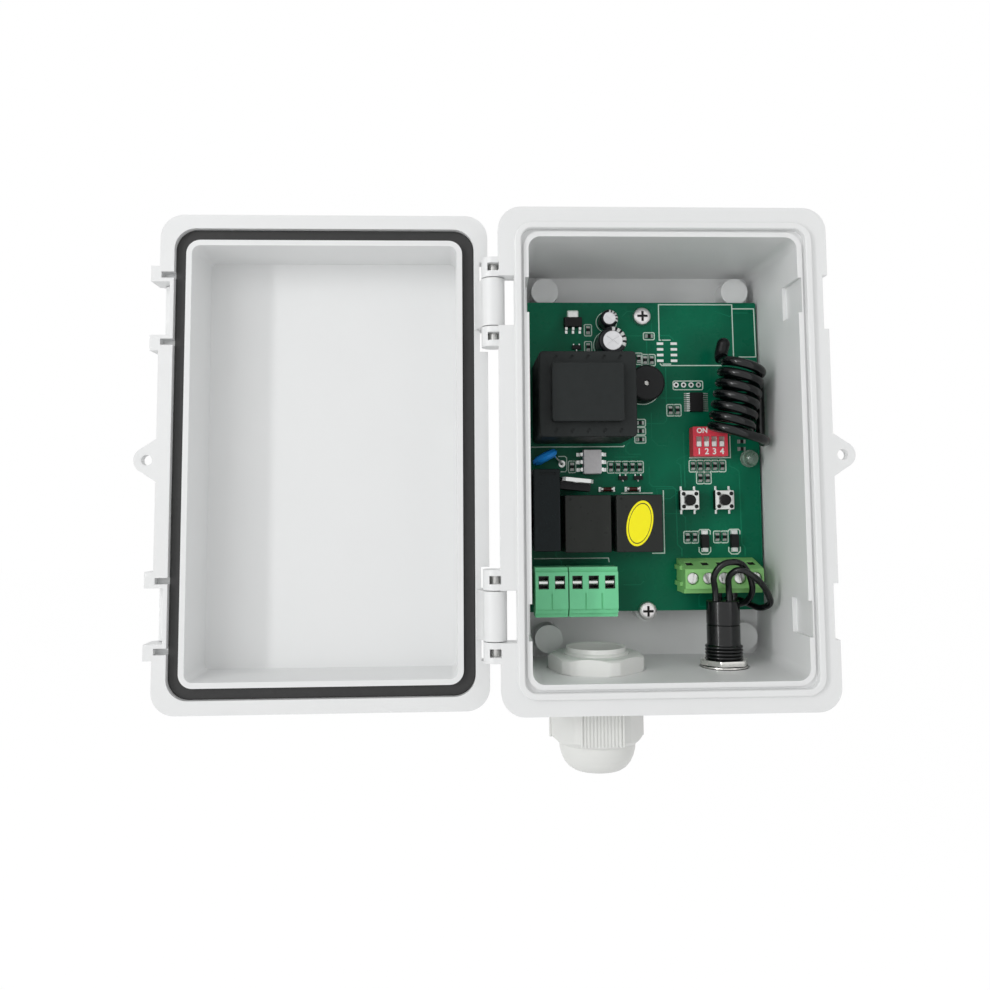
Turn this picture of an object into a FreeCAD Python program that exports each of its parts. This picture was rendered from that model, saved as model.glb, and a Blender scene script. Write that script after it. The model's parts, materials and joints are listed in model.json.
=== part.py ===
"""Roller shutter control board in a hinged wall box, shown open.

Millimetres. +X right, +Z up, the front faces -Y. The origin is the centre of the box's back
face, which lies on the wall plane y = 0. The cover is modelled open, half a turn round its
hinge, to the left of the base.
"""
import FreeCAD
import Part
import math
import os

os.makedirs("parts", exist_ok=True)
V = FreeCAD.Vector

# box, base and cover share one outline
box_width = 99.4
box_height = 150.0
box_corner_radius = 7.0
wall = 2.5
draft_degrees = 1.0

# base housing
base_depth = 49.0
back_wall = 3.0
base_rim_band = 9.1
base_flange_thickness = 3.5
base_inner_radius = 3.6
back_edge_round = 2.2
tongue_inset = 4.9
tongue_width = 2.0
tongue_height = 1.5
lip_groove_width = 0.7
lip_groove_depth = 0.8
post_diameter = 9.2
post_spacing_x = 65.2
post_spacing_z = 116.6
standoff_height = 8.4
boss_diameter = 7.4
wall_screw_hole_diameter = 4.2
wall_screw_hole_depth = 8.0
pocket_height = 10.6
pocket_drop = 13.0
pocket_depth = 1.1
pocket_z = 48.2
pad_rise = 0.5
seat_rise = 0.1

# cover
cover_depth = 21.5
cover_roof = 2.6
cover_rim_band = 9.5
cover_flange_thickness = 5.0
cover_inner_radius = 2.4
cover_edge_round = 2.6
closed_gap = 0.2
gasket_inset = 4.25
gasket_width = 3.55
gasket_groove_depth = 3.4
gasket_thickness = 1.6

# hinge, two sets of knuckle, barrel, knuckle on one axis line
hinge_edge_offset = 1.5
hinge_axis_depth = 4.5
barrel_radius = 3.5
barrel_length = 14.4
knuckle_width = 6.0
hinge_side_gap = 0.3
hinge_z = 46.5
hinge_pin_diameter = 2.9
running_clearance = 0.06
hinge_notch_depth = 4.7
hinge_cover_notch = 2.5
knuckle_window_width = 3.4
knuckle_window_height = 2.4

# latches on the free edge of the cover
latch_z = 46.1
latch_width = 16.0
latch_side_gap = 0.2
latch_pivot_inset = 1.9
latch_pivot_depth = 7.6
latch_eye_radius = 2.3
latch_arm_thickness = 2.0
latch_arm_clearance = 0.2
latch_hook_reach = 1.8
latch_hook_thickness = 2.2
latch_tail = 2.5
latch_tail_flare = 1.4
latch_pin_diameter = 2.0
latch_recess = 3.05
latch_notch_depth = 1.5
cheek_width = 4.8
cheek_proud = 2.6
cheek_back = 3.0
cheek_slot_height = 1.9
cheek_slot_depth = 3.0

# padlock ears half way up the free edges
ear_z = 0.0
ear_reach = 2.7
ear_radius = 3.9
ear_hole_diameter = 3.2
ear_thickness = 3.0
ear_root_half_height = 6.4

# circuit board
board_width = 78.4
board_height = 103.4
board_thickness = 1.6
board_centre_z = 2.45
board_screw_z = 49.25
board_screw_diameter = 3.0
board_screw_head_diameter = 6.1
board_screw_head_height = 2.1
board_screw_length = 7.0

# cable gland through the bottom wall
gland_x = -19.0
gland_depth = 25.0
gland_thread_diameter = 20.6
gland_bore_diameter = 17.6
gland_stub_height = 7.15
gland_nut_flats = 27.6
gland_nut_corners = 30.2
gland_nut_turn = -15.0
gland_nut_thickness = 5.0
gland_hex_thickness = 4.6
gland_washer_thickness = 1.4
gland_dome_flats = 26.4
gland_dome_band = 12.6
gland_dome_radius = 12.0
gland_dome_height = 8.4
gland_cable_diameter = 12.0
gland_rib_count = 13
gland_rib_radius = 0.42

# panel push switch through the bottom wall
switch_x = 21.9
switch_wire_room = 2.05
switch_thread_diameter = 11.8
switch_body_diameter = 10.5
switch_body_length = 13.6
switch_thread_length = 7.4
switch_nut_flats = 14.0
switch_nut_thickness = 1.9
switch_washer_diameter = 14.8
switch_washer_thickness = 0.8
switch_bezel_diameter = 15.0
switch_bezel_thickness = 2.0
switch_button_diameter = 9.0
switch_button_proud = 4.0
switch_travel = 2.0

# antenna of stiff insulated wire
coil_wire_diameter = 3.0
coil_turns = 6
coil_pitch = 3.6
coil_outer_diameter = 15.4
coil_top = (30.0, 30.6)
coil_lean_degrees = 12.0
coil_height_over_board = 13.8
coil_bend = 3.3
coil_riser_x = 37.6
coil_riser_height = 6.4
coil_riser_low = 5.8
coil_riser_top = 23.5
coil_stub_length = 2.7
coil_stub_lean = 0.28
coil_cap_diameter = 4.2

# loose switch wires
switch_wire_diameter = 2.0
switch_wire_lead = 2.7
strip_entry_height = 4.7

# derived places
half_w = box_width / 2
half_h = box_height / 2
front_y = -base_depth
floor_y = -back_wall
board_back_y = floor_y - standoff_height
board_y = board_back_y - board_thickness
switch_depth = strip_entry_height + switch_wire_room + switch_body_diameter / 2 - board_y
hinge_x = -(half_w + hinge_edge_offset)
hinge_y = front_y + hinge_axis_depth
cover_y = 2 * hinge_y - front_y + closed_gap
cover_x = hinge_x - hinge_edge_offset - half_w
cover_free_x = cover_x - half_w
latch_x = cover_free_x + latch_pivot_inset
latch_y = cover_y + latch_pivot_depth
bottom_inner_z = -(half_h - base_rim_band)
bottom_outer_z = bottom_inner_z - wall


def rounded(cx, cz, width, height, radius, y):
    """Closed outline of a rounded rectangle in the plane y."""
    hw = width / 2
    hh = height / 2
    s = radius * (1 - math.sqrt(0.5))
    left, right, low, high = cx - hw, cx + hw, cz - hh, cz + hh
    p = [V(left + radius, y, low), V(right - radius, y, low), V(right, y, low + radius),
         V(right, y, high - radius), V(right - radius, y, high), V(left + radius, y, high),
         V(left, y, high - radius), V(left, y, low + radius)]
    m = [V(right - s, y, low + s), V(right - s, y, high - s),
         V(left + s, y, high - s), V(left + s, y, low + s)]
    edges = []
    for i in range(4):
        edges.append(Part.makeLine(p[2 * i], p[2 * i + 1]))
        edges.append(Part.Arc(p[2 * i + 1], m[i], p[(2 * i + 2) % 8]).toShape())
    return Part.Wire(edges)


def slab(cx, cz, width, height, radius, y_from, y_to):
    """Plate of rounded outline between two planes of constant y."""
    face = Part.Face(rounded(cx, cz, width, height, radius, y_from))
    return face.extrude(V(0, y_to - y_from, 0))


def tapered(cx, cz, width, height, radius, y_from, y_to, shrink):
    """As slab, but drawn in by shrink on each side at y_to."""
    r_to = max(radius - shrink, 0.3)
    a = rounded(cx, cz, width, height, radius, y_from)
    b = rounded(cx, cz, width - 2 * shrink, height - 2 * shrink, r_to, y_to)
    return Part.makeLoft([a, b], True, True)


def box(x0, x1, y0, y1, z0, z1):
    """Plain block between pairs of coordinates in any order."""
    lo = V(min(x0, x1), min(y0, y1), min(z0, z1))
    return Part.makeBox(abs(x1 - x0), abs(y1 - y0), abs(z1 - z0), lo)


def pillar(x, z, radius, y_from, y_to):
    """Cylinder along Y."""
    low = min(y_from, y_to)
    return Part.makeCylinder(radius, abs(y_to - y_from), V(x, low, z), V(0, 1, 0))


def upright(x, y, radius, z_from, z_to):
    """Cylinder along Z."""
    low = min(z_from, z_to)
    return Part.makeCylinder(radius, abs(z_to - z_from), V(x, y, low), V(0, 0, 1))


def lathe_z(x, y, points):
    """Revolves a closed (radius, z) profile round the line x, y."""
    poly = Part.makePolygon([V(x + r, y, z) for r, z in points] + [V(x + points[0][0], y, points[0][1])])
    return Part.Face(poly).revolve(V(x, y, 0), V(0, 0, 1), 360)


def lathe_y(x, z, points):
    """Revolves a closed (radius, y) profile round the line x, z."""
    poly = Part.makePolygon([V(x + r, y, z) for r, y in points] + [V(x + points[0][0], points[0][1], z)])
    return Part.Face(poly).revolve(V(x, 0, z), V(0, 1, 0), 360)


def extrude_z(points, z_from, z_to):
    """Prism over a closed polygon of (x, y) points."""
    low = min(z_from, z_to)
    poly = Part.makePolygon([V(x, y, low) for x, y in points] + [V(points[0][0], points[0][1], low)])
    return Part.Face(poly).extrude(V(0, 0, abs(z_to - z_from)))


def extrude_x(points, x_from, x_to):
    """Prism over a closed polygon of (z, y) points."""
    low = min(x_from, x_to)
    poly = Part.makePolygon([V(low, y, z) for z, y in points] + [V(low, points[0][1], points[0][0])])
    return Part.Face(poly).extrude(V(abs(x_to - x_from), 0, 0))


def hexagon_z(x, y, flats, z_from, z_to, turn=0.0):
    """Hexagonal prism along Z with two flats facing the front and the back."""
    r = flats / math.sqrt(3)
    pts = []
    for i in range(6):
        a = math.radians(60 * i + turn)
        pts.append((x + r * math.cos(a), y + r * math.sin(a)))
    return extrude_z(pts, z_from, z_to)


def fuse(shapes):
    """One clean solid from overlapping shapes."""
    body = shapes[0]
    if len(shapes) > 1:
        body = body.multiFuse(shapes[1:])
    return body.removeSplitter()


def cut(body, tools):
    """Takes every tool away from the body."""
    return body.cut(Part.makeCompound(tools)) if tools else body


def round_edges(shape, radius, wanted):
    """Rounds the edges that the test picks."""
    edges = [e for e in shape.Edges if wanted(e)]
    return shape.makeFillet(radius, edges) if edges else shape


def single(shape):
    """The only solid of a shape, without its wrapper."""
    return shape.Solids[0] if len(shape.Solids) == 1 else shape


def save(name, shape):
    """Writes one node and prints its solids and volume."""
    shape = single(shape)
    shape.exportStep("parts/" + name + ".step")
    print(name, "solids", len(shape.Solids), "volume", round(shape.Volume, 1), "valid", shape.isValid())


def on_board(height):
    """The y of a plane so far in front of the board's face."""
    return board_y - height


def hinge_spans():
    """For each hinge: z of its middle, and the spans of the barrel and the two knuckles."""
    half = barrel_length / 2
    for sign in (1, -1):
        mid = sign * hinge_z
        near = half + hinge_side_gap
        yield mid, (mid - half, mid + half), ((mid + near, mid + near + knuckle_width),
                                              (mid - near - knuckle_width, mid - near))


# base housing

def ear(edge_x, side, y_front, thickness):
    """Padlock ear on a flange edge; side is +1 where it points to +X."""
    centre = edge_x + side * ear_reach
    root = edge_x - side * 1.5
    y_back = y_front + thickness
    web = [(ear_z + ear_root_half_height, root), (ear_z + ear_root_half_height, edge_x),
           (ear_z + ear_radius * 0.82, centre + side * ear_radius * 0.55),
           (ear_z - ear_radius * 0.82, centre + side * ear_radius * 0.55),
           (ear_z - ear_root_half_height, edge_x), (ear_z - ear_root_half_height, root)]
    poly = Part.makePolygon([V(x, y_front, z) for z, x in web] + [V(web[0][1], y_front, web[0][0])])
    plate = Part.Face(poly).extrude(V(0, thickness, 0))
    return fuse([plate, pillar(centre, ear_z, ear_radius, y_front, y_back)])


def ear_hole(edge_x, side, y_front, thickness):
    """Through hole of an ear."""
    centre = edge_x + side * ear_reach
    return pillar(centre, ear_z, ear_hole_diameter / 2, y_front - 1, y_front + thickness + 1)


def knuckle(z_span):
    """Knuckle of the base, an eye with an arm to the flange."""
    eye = upright(hinge_x, hinge_y, barrel_radius, *z_span)
    arm_back = hinge_y + barrel_radius * 0.55
    arm = box(hinge_x, -half_w + tongue_inset, hinge_y - barrel_radius, arm_back, *z_span)
    return fuse([eye, arm])


def knuckle_window(z_span):
    """Window in the front of a knuckle, over the pin."""
    mid = (z_span[0] + z_span[1]) / 2
    hw = knuckle_window_width / 2
    hh = knuckle_window_height / 2
    return box(hinge_x - hw, hinge_x + hw, hinge_y - barrel_radius - 1, hinge_y, mid - hh, mid + hh)


def base_shell():
    """Tub, flange, tongue and lip groove of the base."""
    overhang = base_rim_band - wall
    flange_back = front_y + base_flange_thickness
    run = base_depth - base_flange_thickness
    outer_shrink = run * math.tan(math.radians(draft_degrees))
    outer = tapered(0, 0, box_width - 2 * overhang, box_height - 2 * overhang,
                    base_inner_radius + wall, flange_back - 1, 0, outer_shrink)
    outer = round_edges(outer, back_edge_round, lambda e: e.BoundBox.YMin > -0.01)
    flange = slab(0, 0, box_width, box_height, box_corner_radius, front_y, flange_back)
    inset = tongue_inset
    tongue = slab(0, 0, box_width - 2 * inset, box_height - 2 * inset, box_corner_radius - inset + 3.4,
                  front_y - tongue_height, front_y + 0.5)
    inner = inset + tongue_width
    hollow_tongue = slab(0, 0, box_width - 2 * inner, box_height - 2 * inner,
                         box_corner_radius - inset + 3.4 - tongue_width,
                         front_y - tongue_height - 1, front_y + 1)
    tongue = tongue.cut(hollow_tongue)
    tongue = round_edges(tongue, 0.45, lambda e: e.BoundBox.YMax < front_y - tongue_height + 0.01)
    groove_out = slab(0, 0, box_width - 2 * inner, box_height - 2 * inner,
                      box_corner_radius - inset + 3.4 - tongue_width, front_y - 1, front_y + lip_groove_depth)
    edge = inner + lip_groove_width
    groove_in = slab(0, 0, box_width - 2 * edge, box_height - 2 * edge,
                     base_inner_radius + 1.2, front_y - 2, front_y + lip_groove_depth + 1)
    cavity_run = base_depth - back_wall
    shrink = cavity_run * math.tan(math.radians(draft_degrees))
    band = base_rim_band
    extra = tongue_height + 2
    grow = extra * math.tan(math.radians(draft_degrees))
    cavity = tapered(0, 0, box_width - 2 * band + 2 * grow, box_height - 2 * band + 2 * grow,
                     base_inner_radius + grow, front_y - extra, floor_y, shrink + grow)
    shell = fuse([outer, flange]).cut(groove_out.cut(groove_in))
    shell = fuse([shell, tongue])
    return shell.cut(cavity)


def post_places():
    """Centres of the four corner posts."""
    for sx in (-1, 1):
        for sz in (-1, 1):
            yield sx * post_spacing_x / 2, sz * post_spacing_z / 2


def base_housing():
    """The base with its posts, hinge knuckles, notches, ears and wall holes."""
    parts = [base_shell()]
    for x, z in post_places():
        parts.append(pillar(x, z, post_diameter / 2, floor_y + 1, board_back_y))
    for z in (board_screw_z, -board_screw_z):
        parts.append(pillar(0, z, boss_diameter / 2, floor_y + 1, board_back_y))
    for mid, barrel, knuckles in hinge_spans():
        for span in knuckles:
            parts.append(knuckle(span))
    parts.append(ear(half_w, 1, front_y, ear_thickness))
    tools = []
    for x, depth, radius in ((gland_x, gland_depth, gland_nut_corners / 2 + 0.5),
                             (switch_x, switch_depth, switch_washer_diameter / 2 + 0.5)):
        seat = bottom_inner_z + seat_rise
        parts.append(upright(x, -depth, radius, bottom_outer_z - pad_rise + 0.2, seat))
        tools.append(upright(x, -depth, radius, seat, seat + 1.5))
    body = fuse(parts)
    for mid, barrel, knuckles in hinge_spans():
        low = barrel[0] - hinge_side_gap
        high = barrel[1] + hinge_side_gap
        tools.append(box(-half_w - 1, -half_w + hinge_notch_depth,
                         front_y - 1, front_y + base_flange_thickness + 1,
                         low, high))
        tools.append(upright(hinge_x, hinge_y, hinge_pin_diameter / 2 + running_clearance,
                             knuckles[1][0] + 0.8, knuckles[0][1] + 1))
        for span in knuckles:
            tools.append(knuckle_window(span))
    for sign in (1, -1):
        mid = sign * latch_z
        half = latch_width / 2 + latch_side_gap
        tools.append(box(half_w - latch_notch_depth, half_w + 1, front_y - 1,
                         front_y + base_flange_thickness + 1, mid - half, mid + half))
        for side in (1, -1):
            wall_x = side * (half_w - base_rim_band)
            tools.append(box(wall_x - side * 3, wall_x + side * pocket_depth,
                             front_y - 0.01, front_y + pocket_drop,
                             sign * pocket_z - pocket_height / 2, sign * pocket_z + pocket_height / 2))
    tools.append(ear_hole(half_w, 1, front_y, ear_thickness + 2))
    for x, z in post_places():
        tools.append(pillar(x, z, wall_screw_hole_diameter / 2, 1, -wall_screw_hole_depth))
    for z in (board_screw_z, -board_screw_z):
        tools.append(pillar(0, z, board_screw_diameter / 2 + 0.05, board_back_y - 1, floor_y - 0.6))
    tools.append(upright(gland_x, -gland_depth, gland_thread_diameter / 2 + 0.25,
                         bottom_outer_z - 3, bottom_inner_z + 4))
    tools.append(upright(switch_x, -switch_depth, switch_thread_diameter / 2 + 0.15, bottom_outer_z - 3,
                         bottom_inner_z + 4))
    return cut(body, tools)


def hinge_pins():
    """One pin in each hinge, from the blind knuckle through the barrel."""
    pins = []
    for mid, barrel, knuckles in hinge_spans():
        low = knuckles[1][0] + 1.0
        high = knuckles[0][1] - 0.2
        pins.append(upright(hinge_x, hinge_y, hinge_pin_diameter / 2, low, high))
    return Part.makeCompound(pins)


# cover

def cover_shell():
    """Roofed tub and thick flange with the gasket groove, its mouth to -Y."""
    overhang = cover_rim_band - wall
    flange_back = cover_y + cover_flange_thickness
    top_y = cover_y + cover_depth
    shrink = (cover_depth - cover_flange_thickness) * math.tan(math.radians(2 * draft_degrees))
    outer = tapered(cover_x, 0, box_width - 2 * overhang, box_height - 2 * overhang,
                    cover_inner_radius + wall + 1.4, flange_back - 1, top_y, shrink)
    outer = round_edges(outer, cover_edge_round, lambda e: e.BoundBox.YMin > top_y - 0.01)
    flange = slab(cover_x, 0, box_width, box_height, box_corner_radius, cover_y, flange_back)
    inner_y = top_y - cover_roof
    cavity_shrink = (cover_depth - cover_roof) * math.tan(math.radians(2 * draft_degrees))
    band = cover_rim_band
    cavity = tapered(cover_x, 0, box_width - 2 * band, box_height - 2 * band,
                     cover_inner_radius, cover_y - 0.01, inner_y, cavity_shrink)
    return fuse([outer, flange]).cut(cavity).cut(gasket_ring(cover_y - 1, cover_y + gasket_groove_depth))


def gasket_ring(y_from, y_to):
    """Rectangular ring of the gasket groove."""
    inner = gasket_inset + gasket_width
    a = slab(cover_x, 0, box_width - 2 * gasket_inset, box_height - 2 * gasket_inset,
             box_corner_radius - 0.6, y_from, y_to)
    b = slab(cover_x, 0, box_width - 2 * inner, box_height - 2 * inner,
             box_corner_radius - 0.6 - 2.2, y_from - 1, y_to + 1)
    return a.cut(b)


def gasket():
    """Foam cord in the bottom of the groove, its face below the rim."""
    back = cover_y + gasket_groove_depth
    ring = gasket_ring(back - gasket_thickness, back)
    return round_edges(ring, 0.4, lambda e: e.BoundBox.YMax < back - gasket_thickness + 0.01)


def cover_barrel(span):
    """Hinge barrel of the cover with its curved web to the flange."""
    r = barrel_radius
    eye = upright(hinge_x, hinge_y, r, *span)
    reach = hinge_notch_depth + hinge_edge_offset - 0.6
    web = [(hinge_x - r, hinge_y), (hinge_x - reach, cover_y), (hinge_x - reach, cover_y + 3.5),
           (hinge_x - 2.2, cover_y + 3.5), (hinge_x + 1.6, hinge_y + r * 0.87)]
    return fuse([eye, extrude_z(web, *span)])


def cheek(z_from, z_to):
    """Side plate that carries an end of a latch pin, with its foot on the cover's wall."""
    out = cover_free_x - cheek_proud
    root = cover_free_x + cover_rim_band - wall + 0.9
    back = latch_y + cheek_back
    pts = [(out, cover_y), (root, cover_y), (root, back), (latch_x - 1.2, back), (out, latch_y + 0.4)]
    return extrude_z(pts, z_from, z_to)


def cheek_spans():
    """Spans in z of the cheeks, two for each latch."""
    half = latch_width / 2 + latch_side_gap
    for sign in (1, -1):
        mid = sign * latch_z
        yield mid, (mid + half, mid + half + cheek_width), (mid - half - cheek_width, mid - half)


def cover():
    """The cover with hinge barrels, latch cheeks, recesses and its padlock ear."""
    parts = [cover_shell()]
    for mid, barrel, knuckles in hinge_spans():
        parts.append(cover_barrel(barrel))
    for mid, above, below in cheek_spans():
        parts.append(cheek(*above))
        parts.append(cheek(*below))
    parts.append(ear(cover_free_x, -1, cover_y, ear_thickness))
    tools = []
    for mid, barrel, knuckles in hinge_spans():
        half = barrel_length / 2 + hinge_side_gap + knuckle_width + 0.4
        notch = box(cover_x + half_w - hinge_cover_notch, cover_x + half_w + 1, cover_y - 1,
                    cover_y + cover_flange_thickness + 1, mid - half, mid + half)
        keep = box(hinge_x - 8, hinge_x + 8, cover_y - 8, cover_y + 8, *barrel)
        tools.append(notch.cut(keep))
    shell = cut(parts[0], tools)
    recess = []
    for mid, above, below in cheek_spans():
        half = latch_width / 2 + latch_side_gap
        recess.append(box(cover_free_x - 1, cover_free_x + latch_recess, cover_y - 1,
                          cover_y + cover_flange_thickness + 1, mid - half, mid + half))
    shell = cut(shell, recess)
    body = fuse([shell] + parts[1:])
    holes = [ear_hole(cover_free_x, -1, cover_y, ear_thickness + 3),
             gasket_ring(cover_y - 1, cover_y + gasket_groove_depth)]
    for mid, barrel, knuckles in hinge_spans():
        holes.append(upright(hinge_x, hinge_y, hinge_pin_diameter / 2 + running_clearance,
                             barrel[0] - 1, barrel[1] + 1))
    for mid, above, below in cheek_spans():
        holes.append(upright(latch_x, latch_y, latch_pin_diameter / 2, below[0] + 1.2, above[1] - 1.2))
        for span, side in ((above, -1), (below, 1)):
            slot_mid = (span[0] + span[1]) / 2 + side * 0.3
            holes.append(box(cover_free_x + 0.5, cover_free_x + gasket_inset + 0.3, cover_y - 1,
                             cover_y + cheek_slot_depth, slot_mid - cheek_slot_height / 2,
                             slot_mid + cheek_slot_height / 2))
    return cut(body, holes)


def latch(mid):
    """Latch swung back behind the flange: eye, arm, hook and finger tail."""
    bottom = latch_pivot_depth + closed_gap + base_flange_thickness
    face = latch_pivot_inset - latch_notch_depth + latch_arm_clearance
    out = face + latch_arm_thickness
    hook = bottom + latch_arm_clearance
    tip = face - latch_arm_clearance - latch_hook_reach
    end = hook + latch_hook_thickness
    local = [(face, 0), (face, hook), (tip, hook), (tip, end - 0.9), (tip + 0.9, end), (face + 0.4, end),
             (out + latch_tail_flare - 1.1, end + latch_tail),
             (out + latch_tail_flare, end + latch_tail - 0.7),
             (out, end - 0.8), (out, 1.2), (latch_eye_radius * 0.6, -latch_eye_radius * 0.6)]
    half = latch_width / 2
    arm = extrude_z([(latch_x + a, latch_y + b) for a, b in local], mid - half, mid + half)
    eye = upright(latch_x, latch_y, latch_eye_radius, mid - half, mid + half)
    body = fuse([arm, eye])
    bore = upright(latch_x, latch_y, latch_pin_diameter / 2 + running_clearance,
                   mid - half - 1, mid + half + 1)
    body = body.cut(bore)
    ribs = []
    for i in range(3):
        y = latch_y + hook - 2.4 - 2.2 * i
        ribs.append(box(latch_x + out, latch_x + out + 0.5, y, y + 0.9, mid - half + 1.5, mid + half - 1.5))
    return fuse([body] + ribs)


def latch_pins():
    """A pin through each latch, seated in the cheeks."""
    pins = []
    for mid, above, below in cheek_spans():
        pins.append(upright(latch_x, latch_y, latch_pin_diameter / 2, below[0] + 1.2, above[1] - 1.2))
    return Part.makeCompound(pins)


# circuit board and what is soldered to it

header_hole_z = 26.0
header_first_x = 11.35
header_pitch = 2.54
header_hole_diameter = 1.0


def circuit_board():
    """Board with its two screw places, the lower one a notch, and four header holes."""
    plate = slab(0, board_centre_z, board_width, board_height, 0.6, board_back_y, board_y)
    tools = [pillar(0, board_screw_z, board_screw_diameter / 2 + 0.2, board_back_y + 1, board_y - 1),
             pillar(0, -board_screw_z, board_screw_diameter / 2 + 0.2, board_back_y + 1, board_y - 1)]
    for i in range(4):
        tools.append(pillar(header_first_x + header_pitch * i, header_hole_z, header_hole_diameter / 2,
                            board_back_y + 1, board_y - 1))
    return cut(plate, tools)


def board_screws():
    """Two pan head screws with a cross recess."""
    out = []
    for z in (board_screw_z, -board_screw_z):
        head_y = board_y - board_screw_head_height
        r = board_screw_head_diameter / 2
        head = lathe_y(0, z, [(0.001, board_y), (r, board_y), (r, board_y - 0.9), (r * 0.9, head_y + 0.55),
                              (r * 0.62, head_y + 0.12), (0.001, head_y)])
        shank = pillar(0, z, board_screw_diameter / 2, board_y + 0.01, board_y + board_screw_length)
        body = fuse([head, shank.fuse(pillar(0, z, board_screw_diameter / 2, board_y - 0.5, board_y + 0.5))])
        arm = 1.75
        thin = 0.36
        depth = 1.3
        cross = [box(-arm, arm, head_y - 1, head_y + depth, z - thin, z + thin),
                 box(-thin, thin, head_y - 1, head_y + depth, z - arm, z + arm)]
        out.append(single(cut(body, cross)))
    return Part.makeCompound(out)


transformer_x = -21.95
transformer_z = 19.8
transformer_width = 30.7
transformer_length = 27.1
transformer_height = 25.5
plateau_rise = 3.0
plateau_width = 22.2
plateau_length = 18.2
plateau_shift = 0.3
dimple_pitch = 5.0
dimple_length = 1.5


def transformer():
    """Potted transformer: drafted case, raised middle and a row of moulded dimples."""
    y0 = board_y
    y1 = on_board(transformer_height)
    case = tapered(transformer_x, transformer_z, transformer_width, transformer_length, 1.6, y0, y1, 0.25)
    top = slab(transformer_x - plateau_shift, transformer_z + plateau_shift, plateau_width, plateau_length,
               1.0, y1 + 0.5, y1 - plateau_rise)
    top = round_edges(top, 0.5, lambda e: e.BoundBox.YMax < y1 - plateau_rise + 0.01)
    case = round_edges(case, 0.6, lambda e: e.BoundBox.YMax < y1 + 0.01)
    body = fuse([case, top])
    tools = []
    for i in range(5):
        x = transformer_x + dimple_pitch * (i - 2)
        for side in (1, -1):
            z = transformer_z + side * (transformer_length / 2 - 2.2)
            dimple = box(x - 0.4, x + 0.4, y1 - 1, y1 + 0.4, z - dimple_length / 2, z + dimple_length / 2)
            dimple.rotate(V(x, y1, z), V(0, 1, 0), 35)
            tools.append(dimple)
    return cut(body, tools)


buzzer_x = -0.2
buzzer_z = 25.6
buzzer_diameter = 11.9
buzzer_height = 8.6


def buzzer():
    """Round buzzer with a stepped rim and its sound hole."""
    r = buzzer_diameter / 2
    y1 = on_board(buzzer_height)
    body = lathe_y(buzzer_x, buzzer_z, [(0.9, board_y), (r - 0.3, board_y), (r, board_y - 0.5), (r, y1 + 0.7),
                                        (r - 0.6, y1), (0.9, y1)])
    floor = pillar(buzzer_x, buzzer_z, 1.0, board_y, y1 + 2.2)
    return fuse([body, floor])


def can(x, z, diameter, height):
    """Electrolytic capacitor: sleeved can with a rolled neck and scored lid."""
    r = diameter / 2
    y1 = on_board(height)
    body = lathe_y(x, z, [(0.001, board_y), (r - 0.35, board_y), (r, board_y - 0.4), (r, board_y - 1.0),
                          (r - 0.4, board_y - 1.5), (r, board_y - 2.0), (r, y1 + 0.9), (r - 0.3, y1 + 0.25),
                          (r * 0.8, y1), (r * can_lid_share, y1), (r * can_lid_share - 0.1, y1 + 0.2),
                          (0.001, y1 + 0.2)])
    score = []
    for turn in (35, -35, 90):
        bar = box(x - r * 0.5, x + r * 0.5, y1 - 1, y1 + 0.35, z - 0.1, z + 0.1)
        bar.rotate(V(x, y1, z), V(0, 1, 0), turn)
        score.append(bar)
    return cut(body, score[:2])


can_lid_share = 0.68
large_can_diameter = 9.4
large_can_height = 9.5
small_can_diameter = 6.0
small_can_height = 7.0
large_can_place = (-11.4, 39.5)
small_can_place = (-12.0, 47.4)


def gull_leads(x_positions, z_root, z_tip, width, height=0.8):
    """Flat leads from a body's side down to the board."""
    out = []
    middle = (z_root + z_tip) / 2
    knee = 0.12 * (1 if z_tip > z_root else -1)
    for x in x_positions:
        pts = [(z_root, on_board(height)), (z_root, on_board(height + 0.22)),
               (middle, on_board(height + 0.22)), (middle + knee, on_board(0.22)),
               (z_tip, on_board(0.22)), (z_tip, board_y),
               (middle - knee, board_y),
               (middle - 2 * knee, on_board(height))]
        out.append(extrude_x(pts, x - width / 2, x + width / 2))
    return out


regulator_x = -23.4
regulator_z = 47.3


def voltage_regulator():
    """Regulator with a wide tab above and three leads below."""
    body = tapered(regulator_x, regulator_z, 6.2, 3.5, 0.15, on_board(0.05), on_board(1.7), 0.2)
    tab = box(regulator_x - 1.6, regulator_x + 1.6, board_y, on_board(0.7),
              regulator_z + 1.4, regulator_z + 3.7)
    places = [regulator_x - 2.3, regulator_x, regulator_x + 2.3]
    leads = gull_leads(places, regulator_z - 1.5, regulator_z - 3.8, 0.8)
    return fuse([body, tab] + leads)


chip_x = 18.0
chip_z = 20.1
chip_pins = 10
chip_pin_pitch = 0.65


def controller_chip():
    """Fine pitch controller with a row of leads down each long side."""
    body = tapered(chip_x, chip_z, 4.4, 6.6, 0.1, on_board(0.08), on_board(1.1), 0.1)
    pins = []
    for i in range(chip_pins):
        z = chip_z + (i - (chip_pins - 1) / 2) * chip_pin_pitch
        for side in (1, -1):
            pins.append(box(chip_x + side * 2.0, chip_x + side * 3.2, board_y, on_board(0.2),
                            z - 0.13, z + 0.13))
            pins.append(box(chip_x + side * 2.0, chip_x + side * 2.5, on_board(0.1), on_board(0.55),
                            z - 0.13, z + 0.13))
    return fuse([body] + pins)


chip_part_length = 1.9
chip_part_width = 1.1
chip_part_height = 0.6


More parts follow.
